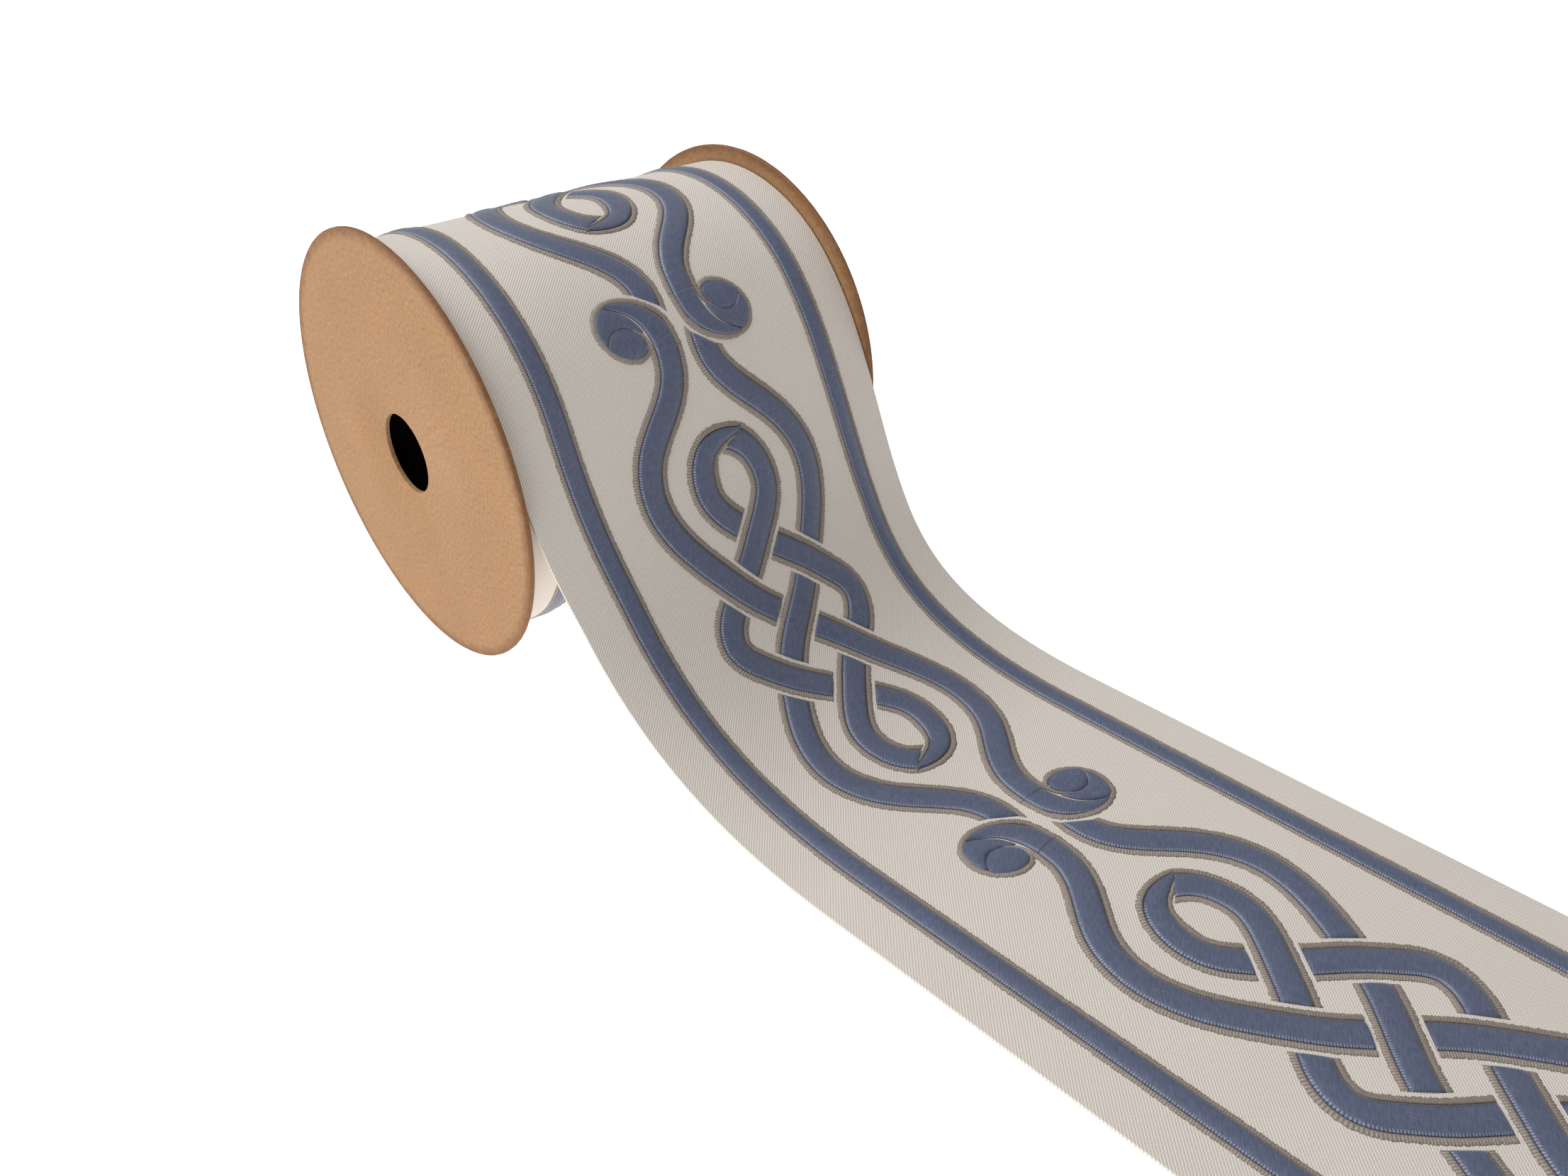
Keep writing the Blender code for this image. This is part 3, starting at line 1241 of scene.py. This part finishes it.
@dataclass
class Interlace:
    """The repeating strapwork: two long strands, two looped ones and the volutes between knots.

    It is a common traditional interlace. Its places are charted in the knot's own millimetres,
    along and across the tape from the knot's centre, and the whole knot is the same when it is
    turned half round.
    """

    repeat: float = 150.4
    first_knot: float = 117.3
    shift: float = 0.3
    half_width: float = 4.35
    satin_half: float = 2.9
    clearance: float = 5.2
    tail_gap: float = 0.95
    fold_gap: float = 0.1
    window: float = 15.0
    lean_zone: float = 9.0
    step: float = 0.1
    long_low: tuple[tuple[float, float], ...] = (
        (-70.0, -5.4), (-64.0, -6.4), (-57.5, -10.4), (-47.5, -19.1), (-37.0, -21.7),
        (-27.0, -19.3), (-17.0, -13.6), (-8.0, -7.3), (0.0, 0.0),
    )
    long_high: tuple[tuple[float, float], ...] = (
        (-79.0, 7.4), (-76.0, 6.6), (-72.5, 5.6), (-68.0, 4.9), (-62.5, 6.0), (-57.5, 9.2),
        (-47.5, 17.6), (-37.0, 21.6), (-27.0, 20.0), (-16.0, 13.9), (-7.3, 7.6), (0.0, 0.0),
    )
    loop: tuple[tuple[float, float], ...] = (
        (-47.3, 0.8), (-45.6, 3.6), (-42.5, 6.5), (-37.5, 8.1), (-32.5, 7.7), (-27.5, 4.8),
        (-22.5, 0.3), (-15.5, -6.6), (-8.9, -14.3), (-4.5, -18.1), (0.0, -19.3), (7.2, -15.3),
        (12.2, -10.9), (18.5, -4.0), (26.3, 3.7), (32.5, 7.7), (37.5, 8.2), (42.0, 6.6),
        (45.0, 3.6), (45.8, 0.2), (45.3, -3.2), (44.5, -5.3),
    )
    tip_steps: tuple[tuple[float, float, float, float, float], ...] = (
        (16.5, -4.35, -2.9, 2.9, 4.35),
        (11.5, -3.6, -2.3, 2.9, 4.35),
        (7.3, -2.45, -1.35, 2.9, 4.35),
        (3.9, -1.15, -0.1, 2.95, 4.35),
        (0.9, 0.9, 1.8, 3.1, 4.35),
        (0.0, 2.9, 3.35, 3.7, 4.3),
    )
    fold: tuple[tuple[float, float], ...] = (
        (43.3, 0.9), (44.2, -0.9), (45.6, -3.2), (46.9, -5.1), (48.4, -6.8), (49.4, -7.8),
    )
    crossings: tuple[Crossing, ...] = (
        Crossing("low", "high", 0.0, 0.0),
        Crossing("loop", "low", -12.0, -10.2),
        Crossing("turned_loop", "low", 12.0, 10.2),
        Crossing("high", "turned_loop", -12.0, 11.0),
        Crossing("high", "loop", 12.0, -11.0),
        Crossing("turned_loop", "loop", -21.0, 0.0),
        Crossing("loop", "turned_loop", 21.0, 0.0),
    )
    volute_rim: tuple[tuple[float, float], ...] = (
        (5.5, -1.1), (1.45, -1.4), (-1.7, -2.2), (-4.8, -4.7), (-6.7, -7.5), (-7.9, -10.3),
        (-8.4, -14.05), (-7.9, -16.9), (-6.4, -19.4), (-4.2, -20.8), (-1.7, -21.4),
        (1.1, -20.9), (3.6, -19.5), (5.5, -17.5), (6.8, -14.7), (7.0, -12.2), (6.2, -10.3),
        (4.9, -9.1),
    )
    turn_outer: tuple[tuple[float, float], ...] = (
        (5.5, -2.5), (1.2, -2.8), (-2.8, -4.9), (-5.5, -8.1), (-6.8, -10.9), (-7.3, -13.9),
        (-7.0, -15.9),
    )
    turn_inner: tuple[tuple[float, float], ...] = (
        (5.5, -8.3), (2.8, -8.5), (0.0, -9.15), (-2.8, -10.6), (-4.6, -12.5), (-5.9, -14.5),
        (-6.8, -16.1),
    )
    crescent_outer: tuple[tuple[float, float], ...] = (
        (1.2, -9.2), (-2.6, -10.9), (-4.8, -13.1), (-6.6, -15.9), (-6.9, -17.2), (-5.6, -19.0),
        (-3.8, -20.0), (-1.5, -20.4), (1.4, -20.0),
    )
    crescent_inner: tuple[tuple[float, float], ...] = (
        (0.9, -10.5), (-0.75, -12.5), (-1.45, -15.2), (-0.8, -17.3), (1.3, -19.2),
    )
    eye_left: tuple[tuple[float, float], ...] = (
        (2.0, -19.7), (-0.6, -17.6), (-1.5, -15.2), (-0.95, -12.8), (0.6, -10.8), (2.6, -9.8),
    )
    eye_right: tuple[tuple[float, float], ...] = (
        (2.0, -19.7), (4.6, -17.6), (5.8, -14.9), (5.95, -12.4), (4.9, -10.4), (2.6, -9.8),
    )
    stub: tuple[tuple[float, float, float], ...] = (
        (5.2, -9.1, 0.75), (3.5, -9.3, 0.62), (1.7, -9.8, 0.5), (0.4, -10.8, 0.36), (-0.5, -12.0, 0.15),
    )

    def whole(self, half: tuple[tuple[float, float], ...]) -> Array:
        """A strand's points from the half that is charted."""
        charted = np.asarray(half)
        return np.concatenate([charted, half_turned(charted)[1:]])

    def strands(self) -> dict[str, Strand]:
        """The four strands of one knot, by name.

        Returns:
            The strands by name.
        """
        made = {}
        even = np.array([-self.half_width, -self.satin_half, self.satin_half, self.half_width])
        for name, half in (("low", self.long_low), ("high", self.long_high)):
            centre = smooth_curve(self.whole(half), self.step)
            made[name] = Strand(name, centre, np.tile(even, (len(centre), 1)))
        loop = smooth_curve(np.asarray(self.loop), self.step)
        left = np.concatenate([[0.0], np.cumsum(np.hypot(*np.diff(loop, axis=0).T))])
        left = left[-1] - left
        tip = np.array(self.tip_steps)[::-1]
        offsets = np.stack([np.interp(left, tip[:, 0], tip[:, lane]) for lane in range(1, 5)], axis=1)
        made["loop"] = Strand("loop", loop, offsets)
        made["turned_loop"] = Strand("turned_loop", loop * -1.0, offsets)
        return made

    def end_cutters(self) -> dict[str, tuple[tuple[Array, float], tuple[Array, float] | None]]:
        """What cuts each strand's first and last end, and how far off it stops.

        Returns:
            For each strand the curve and gap at its start and at its end, if any.
        """
        fold = smooth_curve(np.asarray(self.fold), self.step)
        rim = smooth_curve(np.asarray(self.volute_rim), self.step)
        half = np.array([self.repeat / 2.0, 0.0])
        return {
            "loop": ((-fold, self.fold_gap), None),
            "turned_loop": ((fold, self.fold_gap), None),
            "high": ((-rim - half, self.tail_gap), (rim + half, self.tail_gap)),
        }

    def column_stops(self, strand: Strand, line: Array, strands: dict[str, Strand]) -> list[float]:
        """Where one line of a strand starts and stops, as indices along it.

        Args:
            strand: The strand.
            line: The line's points.
            strands: All the strands.

        Returns:
            Pairs of start and stop, one after the other.
        """
        last = len(line) - 1.0
        gaps = []
        reach = int(self.window / self.step)
        for crossing in self.crossings:
            if crossing.under != strand.name:
                continue
            at = np.array([crossing.along, crossing.across])
            middle = int(np.argmin(((strand.centre - at) ** 2).sum(axis=1)))
            first = max(middle - reach, 0)
            near = line[first:middle + reach]
            clear = distance_to(near, strands[crossing.over].centre) - self.clearance
            hidden = np.flatnonzero(clear < 0.0)
            enters = first + self.crossed(clear, hidden[0], -1)
            leaves = first + self.crossed(clear, hidden[-1], 1)
            gaps.append((enters, leaves))
        start, stop = 0.0, last
        cutters = self.end_cutters().get(strand.name)
        if cutters:
            near = len(line) // 8
            clear = distance_to(line[:near], cutters[0][0]) - cutters[0][1]
            hidden = np.flatnonzero(clear < 0.0)
            start = self.crossed(clear, hidden[-1], 1) if len(hidden) else 0.0
            if cutters[1]:
                clear = distance_to(line[-near:], cutters[1][0]) - cutters[1][1]
                hidden = np.flatnonzero(clear < 0.0)
                if len(hidden):
                    stop = len(line) - near + self.crossed(clear, hidden[0], -1)
        stops = [start]
        for gap_start, gap_stop in sorted(gaps):
            stops += [gap_start, gap_stop]
        return stops + [stop]

    @staticmethod
    def crossed(clear: Array, index: int, direction: int) -> float:
        """The place between two samples at which a clearance becomes zero.

        Args:
            clear: The clearance along a line.
            index: The last hidden sample.
            direction: Which way the shown side lies.

        Returns:
            The place, as a broken index.
        """
        beyond = index + direction
        if beyond < 0 or beyond >= len(clear):
            return float(index)
        return index + direction * clear[index] / (clear[index] - clear[beyond])

    def strand_ribbons(self) -> dict[Stitch, list[Ribbon]]:
        """The satin and cord strips of one knot's four strands.

        Returns:
            Ribbons by kind of stitching.
        """
        strands = self.strands()
        made: dict[Stitch, list[Ribbon]] = {Stitch.SATIN: [], Stitch.CORD: []}
        for strand in strands.values():
            lanes = ((Stitch.CORD, 1), (Stitch.SATIN, 0), (Stitch.CORD, -1))
            for lane, (kind, satin_side) in enumerate(lanes):
                shares = np.linspace(0.0, 1.0, RELIEFS[kind].columns)
                lines = [strand.column(lane, share) for share in shares]
                stops = np.array([self.column_stops(strand, line, strands) for line in lines])
                made[kind] += self.sections(lines, stops, kind, satin_side, strand.name)
        return made

    def sections(
        self, lines: list[Array], stops: Array, kind: Stitch, satin_side: int, strand: str
    ) -> list[Ribbon]:
        """The shown stretches of one lane of a strand.

        Args:
            lines: The lane's lines.
            stops: Each line's starts and stops.
            kind: The kind of stitching.
            satin_side: Which side of a cord the satin lies on.
            strand: The strand's name.

        Returns:
            One ribbon for each stretch.
        """
        made = []
        for index in range(0, stops.shape[1], 2):
            start, stop = stops[:, index], stops[:, index + 1]
            length = (stop - start).mean() * self.step
            if length < 1.0:
                continue
            rows = max(int(length / RELIEFS[kind].row_pitch), 4) | 1
            zone = min(self.lean_zone / self.step, (stop.mean() - start.mean()) / 2.0)
            middle = np.linspace(start.mean(), stop.mean(), rows)[:, None]
            from_start = np.clip(1.0 - (middle - start.mean()) / zone, 0.0, 1.0)
            from_stop = np.clip(1.0 - (stop.mean() - middle) / zone, 0.0, 1.0)
            at = middle + (start - start.mean()) * from_start + (stop - stop.mean()) * from_stop
            grid = np.empty((rows, len(lines), 2))
            for column, line in enumerate(lines):
                samples = np.arange(len(line))
                grid[:, column, 0] = np.interp(at[:, column], samples, line[:, 1])
                grid[:, column, 1] = np.interp(at[:, column], samples, line[:, 0])
            made.append(Ribbon(grid, at * self.step, kind, satin_side, strand == "low"))
        return made

    def between(
        self,
        first: Array,
        second: Array,
        kind: Stitch,
        satin_side: int = 0,
        trim: float = 0.0,
        joined: bool = False,
    ) -> Ribbon:
        """A ribbon that fills the space between two curves.

        Args:
            first: One side's points, as (along, across).
            second: The other side's points.
            kind: The kind of stitching.
            satin_side: Which side of a cord the satin lies on.
            trim: The share left off at each end, where the sides meet.
            joined: Whether the ends keep their full height, to meet another ribbon.

        Returns:
            The ribbon.
        """
        length = np.hypot(*np.diff(first[:, :2], axis=0).T).sum()
        rows = max(int(length / RELIEFS[kind].row_pitch), 6) | 1
        part = np.linspace(trim, 1.0 - trim, rows)
        sides = []
        for curve in (first, second):
            at = part * (len(curve) - 1)
            samples = np.arange(len(curve))
            across, along = (np.interp(at, samples, curve[:, part_of]) for part_of in (1, 0))
            sides.append(np.stack([across, along], axis=1))
        share = np.linspace(0.0, 1.0, RELIEFS[kind].columns)[None, :, None]
        grid = sides[0][:, None] * (1.0 - share) + sides[1][:, None] * share
        along = np.tile((part * length)[:, None], (1, grid.shape[1]))
        return Ribbon(grid, along, kind, satin_side, joined)

    def volute_ribbons(self) -> dict[Stitch, list[Ribbon]]:
        """The satin and cord strips of one volute, about the centre between two knots.

        Returns:
            Ribbons by kind of stitching.
        """
        rim = smooth_curve(np.asarray(self.volute_rim), self.step)
        width = (self.half_width - self.satin_half + 0.05) * np.interp(
            np.linspace(0.0, 1.0, len(rim)), [0.0, 0.92, 1.0], [1.0, 1.0, 0.6]
        )
        inside = rim + left_normals(rim) * width[:, None]
        stub = smooth_curve(np.asarray(self.stub), self.step)
        offset = left_normals(stub) * stub[:, 2:3]
        satin_pairs = (
            (self.turn_outer, self.turn_inner, 0.0),
            (self.crescent_outer, self.crescent_inner, 0.02),
            (self.eye_left, self.eye_right, 0.03),
        )
        satin = [
            self.between(
                smooth_curve(np.asarray(first), self.step),
                smooth_curve(np.asarray(second), self.step),
                Stitch.SATIN,
                trim=trim,
                joined=trim == 0.0,
            )
            for first, second, trim in satin_pairs
        ]
        cords = [
            self.between(rim, inside, Stitch.CORD, satin_side=1),
            self.between(stub[:, :2] - offset, stub[:, :2] + offset, Stitch.CORD, satin_side=-1),
        ]
        return {Stitch.SATIN: satin, Stitch.CORD: cords}

    def volutes(self) -> dict[Stitch, list[Ribbon]]:
        """Both volutes between two knots.

        Returns:
            Ribbons by kind of stitching.
        """
        one = self.volute_ribbons()
        made = {}
        for kind, ribbons in one.items():
            turned = [replace(ribbon, grid=-ribbon.grid) for ribbon in ribbons]
            made[kind] = ribbons + turned
        return made

    def laid_out(self, path: TapePath) -> dict[tuple[Stitch, str], list[Ribbon]]:
        """Every repeat on the tape, by kind of stitching and by group.

        Args:
            path: The tape's course.

        Returns:
            The ribbons.
        """
        groups = {"strands": self.strand_ribbons(), "volutes": self.volutes()}
        starts = {"strands": self.first_knot, "volutes": self.first_knot - self.repeat / 2.0}
        made: dict[tuple[Stitch, str], list[Ribbon]] = {}
        for group, kinds in groups.items():
            for copy in range(-4, 4):
                along = starts[group] + copy * self.repeat
                for kind, ribbons in kinds.items():
                    moved = [ribbon.shifted(self.shift, along) for ribbon in ribbons]
                    made.setdefault((kind, group), []).extend(moved)
        return made


@dataclass
class BorderStripes:
    """The plain satin stripe with its two outline cords, near each selvedge."""

    centre: float = 37.3
    satin_half: float = 2.2
    half_width: float = 3.25

    def ribbons(self, path: TapePath) -> dict[Stitch, list[Ribbon]]:
        """The strips of both stripes.

        Args:
            path: The tape's course.

        Returns:
            Ribbons by kind of stitching.
        """
        made: dict[Stitch, list[Ribbon]] = {Stitch.SATIN: [], Stitch.CORD: []}
        lanes = (
            (Stitch.SATIN, -self.satin_half, self.satin_half, 0),
            (Stitch.CORD, -self.half_width, 0.05 - self.satin_half, 1),
            (Stitch.CORD, self.satin_half - 0.05, self.half_width, -1),
        )
        length = path.cut - path.wrap_start
        for middle in (-self.centre, self.centre):
            for kind, low, high, satin_side in lanes:
                rows = int(length / RELIEFS[kind].row_pitch) | 1
                along = np.linspace(path.wrap_start, path.cut, rows)
                across = middle + np.linspace(low, high, RELIEFS[kind].columns)
                grid = np.stack(np.meshgrid(across, along), axis=-1)
                reach = np.tile((along - path.wrap_start)[:, None], (1, len(across)))
                made[kind].append(Ribbon(grid, reach, kind, satin_side))
        return made


@dataclass
class Tape:
    """The woven tape with all its stitching, one wrap on the roll and the loose end."""

    path: TapePath
    effects: Effects
    width: float = 100.0
    lift: float = 0.05
    thickness: float = 0.7
    column_pitch: float = 2.5
    row_pitch: float = 1.5
    interlace: Interlace = field(default_factory=Interlace)
    stripes: BorderStripes = field(default_factory=BorderStripes)

    def build_ground(self) -> bpy.types.Object:
        """Makes the woven ground as one closed sheet.

        Returns:
            The piece.
        """
        columns = int(self.width / self.column_pitch) + 1
        rows = int((self.path.cut - self.path.wrap_start) / self.row_pitch) + 1
        across = np.linspace(-self.width / 2, self.width / 2, columns)
        along = np.linspace(self.path.wrap_start, self.path.cut, rows)
        size = 2 * columns
        ring = np.empty((rows, size, 3))
        ring[:, :columns, 0] = across
        ring[:, columns:, 0] = across[::-1]
        ring[..., 1] = along[:, None]
        ring[:, :columns, 2] = self.lift
        ring[:, columns:, 2] = self.lift + self.thickness
        flat = ring.reshape(-1, 3)
        quads = ring_faces(rows, size)
        cells = np.arange(columns - 1)
        ends = []
        for first, turn in ((0, 1), ((rows - 1) * size, -1)):
            cap = np.stack([cells, cells + 1, size - 2 - cells, size - 1 - cells], axis=1) + first
            ends.append(cap[:, ::turn])
        polygons = Polygons()
        polygons.add(flat, [quads[:, ::-1], *[cap[:, ::-1] for cap in ends]], tape=flat[:, :2])
        mesh = polygons.mesh("tape_ground", self.path.place(flat))
        outward(mesh)
        mesh.set_sharp_from_angle(angle=math.radians(50.0))
        return show(mesh, GroundFinish().build(self.effects), "tape_ground", "tape_run")

    def build_stitching(
        self, name: str, ribbons: list[Ribbon], finish: bpy.types.Material, slot: str, seed: int
    ) -> bpy.types.Object:
        """Makes one piece of raised stitching.

        Args:
            name: The piece's name.
            ribbons: Its strips.
            finish: Its material.
            slot: The record's material slot.
            seed: Where its unevenness starts.

        Returns:
            The piece.
        """
        limits = (self.path.wrap_start, self.path.cut)
        stitchery = Stitchery(self.lift + self.thickness, limits, seed)
        for ribbon in ribbons:
            stitchery.add(ribbon)
        flat = np.concatenate(stitchery.polygons.points)
        mesh = stitchery.polygons.mesh(name, self.path.place(flat))
        return show(mesh, finish, slot, "tape_run")

    def build(self) -> list[bpy.types.Object]:
        """Returns:
            The pieces.
        """
        ground = self.build_ground()
        satin = SatinFinish().build(self.effects)
        cord = CordFinish().build(self.effects)
        knots = self.interlace.laid_out(self.path)
        stripes = self.stripes.ribbons(self.path)
        work = (
            ("interlace_satin", knots[Stitch.SATIN, "strands"], satin, "slate_satin"),
            ("volute_satin", knots[Stitch.SATIN, "volutes"], satin, "slate_satin"),
            ("stripe_satin", stripes[Stitch.SATIN], satin, "slate_satin"),
            ("interlace_cord", knots[Stitch.CORD, "strands"], cord, "taupe_cord"),
            ("volute_cord", knots[Stitch.CORD, "volutes"], cord, "taupe_cord"),
            ("stripe_cord", stripes[Stitch.CORD], cord, "taupe_cord"),
        )
        pieces = [
            self.build_stitching(name, ribbons, finish, slot, seed)
            for seed, (name, ribbons, finish, slot) in enumerate(work, start=1)
        ]
        return [ground, *pieces]


def outward(mesh: bpy.types.Mesh) -> None:
    """Turns a closed mesh's faces outward.

    Args:
        mesh: The mesh.
    """
    work = bmesh.new()
    work.from_mesh(mesh)
    bmesh.ops.recalc_face_normals(work, faces=work.faces)
    work.to_mesh(mesh)
    work.free()


@dataclass
class WoundWraps:
    """The lower wraps of the roll: a spiral outside, layered ends and the bore, painted near-black as
    shade.
    """

    datum: SpoolDatum
    path: TapePath
    effects: Effects
    half_width: float = 49.7
    bore_radius: float = 16.0
    clearance: float = 0.2
    stations: int = 180
    layers: int = 20
    layer_inset: float = 0.25
    seam_angle: float = 43.0
    tape_per_station: float = 1.6

    def outer_radius(self, angle: Array) -> Array:
        """The spiral just under the last full wrap, at angles from the top toward the camera."""
        behind = np.minimum(angle, 0.0) / (2.0 * math.pi)
        return self.path.radius + self.path.turn_pitch * behind - self.clearance

    def build(self) -> bpy.types.Object:
        """Makes the roll's body.

        Returns:
            The piece.
        """
        angle = math.radians(self.seam_angle) - 2.0 * math.pi * np.arange(self.stations) / self.stations
        outer = self.outer_radius(angle)
        rings = []
        wraps = np.linspace(1.0, 0.0, self.layers + 1)[1:]
        for side in (-1.0, 1.0):
            column = [(side * self.half_width, outer)]
            for index, part in enumerate(wraps):
                radius = self.bore_radius + (outer - self.bore_radius) * part
                inset = self.layer_inset if index % 2 == 0 and part > 0.0 else 0.0
                column.append((side * (self.half_width - inset), radius))
            rings.append(column)
        profile = [*rings[0][::-1], *rings[1]]
        size = len(profile)
        points = np.concatenate([self.datum.around(x, radius, angle) for x, radius in profile])
        points = points.reshape(size, self.stations, 3).transpose(1, 0, 2)
        loop = np.concatenate([points, points[:1]]).reshape(-1, 3)
        face_uv = (loop[:, 1:] / MM) - np.array([self.datum.axis_y, self.datum.axis_height])
        turned = np.repeat(np.arange(self.stations + 1) * self.tape_per_station, size)
        tape_uv = np.stack([loop[:, 0] / MM, turned], axis=1)
        quads = ring_faces(self.stations + 1, size)
        quads = np.where(quads >= self.stations * size, quads - self.stations * size, quads)
        polygons = Polygons()
        polygons.add(
            loop[: self.stations * size],
            [quads],
            tape=tape_uv[: self.stations * size],
            face=face_uv[: self.stations * size],
        )
        mesh = polygons.mesh("wound_wraps")
        outward(mesh)
        mesh.set_sharp_from_angle(angle=math.radians(40.0))
        piece = show(mesh, GroundFinish().build(self.effects), "tape_ground", "wound_roll")
        # Painted shade: the faces around the bore get the near-black colour that stands in for the shade
        # inside the roll.
        mesh.materials.append(PaintedBoreShade().build(self.effects))
        axis = Vector((0.0, self.datum.axis_y * MM, self.datum.axis_height * MM))
        limit = (self.bore_radius + 1.0) * MM
        for face in mesh.polygons:
            centre = face.center - axis
            if math.hypot(centre.y, centre.z) < limit:
                face.material_index = 1
        return piece


@dataclass
class BoardDisc:
    """One die-cut disc of raw board, with its spindle hole and the flat it stands on."""

    name: str
    node: str
    datum: SpoolDatum
    side: float
    finish: bpy.types.Material
    thickness: float = 1.2
    hole_radius: float = 9.75
    edge_round: float = 0.3
    stations: int = 320
    seed: int = 7

    def profile(self) -> list[tuple[float, float, float]]:
        """The cut section as rows of place along the axis, radius and raggedness.

        Returns:
            Rows of place along the axis, radius and raggedness.
        """
        half = self.thickness / 2
        rim = self.datum.disc_radius
        soft = self.edge_round
        hole = self.hole_radius
        return [
            (-half + 0.12, hole, 1.0),
            (-half, hole + 0.18, 0.7),
            (-half, 0.5 * (hole + rim), 0.0),
            (-half, rim - 2.0, 0.0),
            (-half, rim - soft, 0.3),
            (-half * 0.62, rim - 0.06, 0.6),
            (0.0, rim, 0.6),
            (half * 0.62, rim - 0.06, 0.6),
            (half, rim - soft, 0.3),
            (half, rim - 2.0, 0.0),
            (half, 0.5 * (hole + rim), 0.0),
            (half, hole + 0.18, 0.7),
            (half - 0.12, hole, 1.0),
            (0.0, hole - 0.03, 1.0),
        ]

    def build(self) -> bpy.types.Object:
        """Makes the disc.

        Returns:
            The piece.
        """
        random = np.random.default_rng(self.seed)
        angle = np.linspace(0.0, 2.0 * math.pi, self.stations, endpoint=False)
        centre = self.side * (self.datum.inner_face + self.thickness / 2)
        columns = []
        for x, radius, ragged in self.profile():
            rough = random.normal(0.0, 0.035, self.stations)
            rough = (rough + np.roll(rough, 1)) * ragged
            columns.append(self.datum.around(centre + x, radius - np.abs(rough), angle))
        size = len(columns)
        points = np.stack(columns, axis=1)
        points[..., 2] = np.maximum(points[..., 2], 0.0)
        points = points.reshape(-1, 3)
        quads = ring_faces(self.stations + 1, size)
        quads = np.where(quads >= self.stations * size, quads - self.stations * size, quads)
        face_uv = points[:, 1:] / MM - np.array([self.datum.axis_y, self.datum.axis_height])
        polygons = Polygons()
        polygons.add(points, [quads], face=face_uv)
        mesh = polygons.mesh(self.name)
        outward(mesh)
        mesh.set_sharp_from_angle(angle=math.radians(35.0))
        return show(mesh, self.finish, "board", self.node)


@dataclass
class Studio:
    """The plain white table, the soft lights and the camera."""

    datum: SpoolDatum
    camera_from_axis: tuple[float, float, float] = (-154.57, -241.60, 183.43)
    azimuth: float = -42.74
    elevation: float = 34.43
    roll: float = 0.17
    lens: float = 27.27
    sensor: float = 36.0
    floor_half: float = 3.0
    floor_white: float = 0.88
    floor_gap: float = 0.0001
    floor_glow: float = 0.8
    sky_strength: float = 0.32
    aim_height: float = 0.03

    def camera(self) -> None:
        """Sets the camera at the photo's place and angle."""
        turn, tilt, roll = (math.radians(v) for v in (self.azimuth, self.elevation, self.roll))
        back = Vector((
            math.sin(turn) * math.cos(tilt), -math.cos(turn) * math.cos(tilt), math.sin(tilt)
        ))
        right = Vector((0.0, 0.0, 1.0)).cross(back).normalized()
        up = back.cross(right)
        leaned_right = right * math.cos(roll) + up * math.sin(roll)
        leaned_up = up * math.cos(roll) - right * math.sin(roll)
        x, y, z = self.camera_from_axis
        data = bpy.data.cameras.new("photo_camera")
        data.lens = self.lens
        data.sensor_width = self.sensor
        data.sensor_fit = "HORIZONTAL"
        data.clip_start = 0.01
        camera = bpy.data.objects.new("photo_camera", data)
        place = Vector((self.datum.middle_x + x, self.datum.axis_y + y, z)) * MM
        turned = Matrix((leaned_right, leaned_up, back)).transposed().to_4x4()
        camera.matrix_world = Matrix.Translation(place) @ turned
        bpy.context.scene.collection.objects.link(camera)
        bpy.context.scene.camera = camera

    def floor(self) -> None:
        """Lays the plain white table top."""
        reach = self.floor_half
        mesh = bpy.data.meshes.new("table_top")
        corners = [(-reach, -reach, 0.0), (reach, -reach, 0.0), (reach, reach, 0.0), (-reach, reach, 0.0)]
        mesh.from_pydata(corners, [], [(0, 1, 2, 3)])
        table = bpy.data.objects.new("table_top", mesh)
        table.location.z = -self.floor_gap
        bpy.context.scene.collection.objects.link(table)
        tree = FinishTree("white_table")
        white = (self.floor_white,) * 3 + (1.0,)
        tree.shader.inputs["Base Color"].default_value = white
        tree.shader.inputs["Emission Color"].default_value = (1.0, 1.0, 1.0, 1.0)
        tree.settle(Roughness=0.9, Emission_Strength=self.floor_glow)
        mesh.materials.append(tree.material)

    def lamp(self, name: str, place: tuple[float, float, float], size: float, power: float) -> None:
        """Hangs one soft square light that faces the roll.

        Args:
            name: The light's name.
            place: Its place in metres.
            size: Its side in metres.
            power: Its power in watts.
        """
        data = bpy.data.lights.new(name, "AREA")
        data.size = size
        data.energy = power
        light = bpy.data.objects.new(name, data)
        light.location = place
        light.visible_camera = False
        aim = Vector((0.0, 0.0, self.aim_height)) - Vector(place)
        light.rotation_euler = aim.to_track_quat("-Z", "Y").to_euler()
        bpy.context.scene.collection.objects.link(light)

    def build(self) -> None:
        """Makes the camera, the table, the sky and the lights."""
        self.camera()
        self.floor()
        world = bpy.data.worlds.new("soft_white")
        world.use_nodes = True
        background = world.node_tree.nodes["Background"]
        background.inputs["Color"].default_value = (1.0, 1.0, 1.0, 1.0)
        background.inputs["Strength"].default_value = self.sky_strength
        bpy.context.scene.world = world
        bpy.context.scene.view_settings.view_transform = "Standard"
        self.lamp("window_light", (-0.45, 0.75, 1.25), 1.0, 15.0)
        self.lamp("side_fill", (-0.9, -0.2, 0.7), 0.8, 2.0)


def main() -> None:
    """Builds every piece in order and reports it."""
    logging.basicConfig(level=logging.INFO, format="%(name)s %(message)s")
    datum = SpoolDatum.from_frame()
    Studio(datum).build()
    effects = Effects()
    path = TapePath(datum)
    WoundWraps(datum, path, effects).build()
    Tape(path, effects).build()
    board = BoardFinish().build(effects)
    BoardDisc("board_left", "flange_left", datum, -1.0, board, seed=7).build()
    BoardDisc("board_right", "flange_right", datum, 1.0, board, seed=8).build()
    log.info("all pieces are built")


if __name__ == "__main__":
    main()
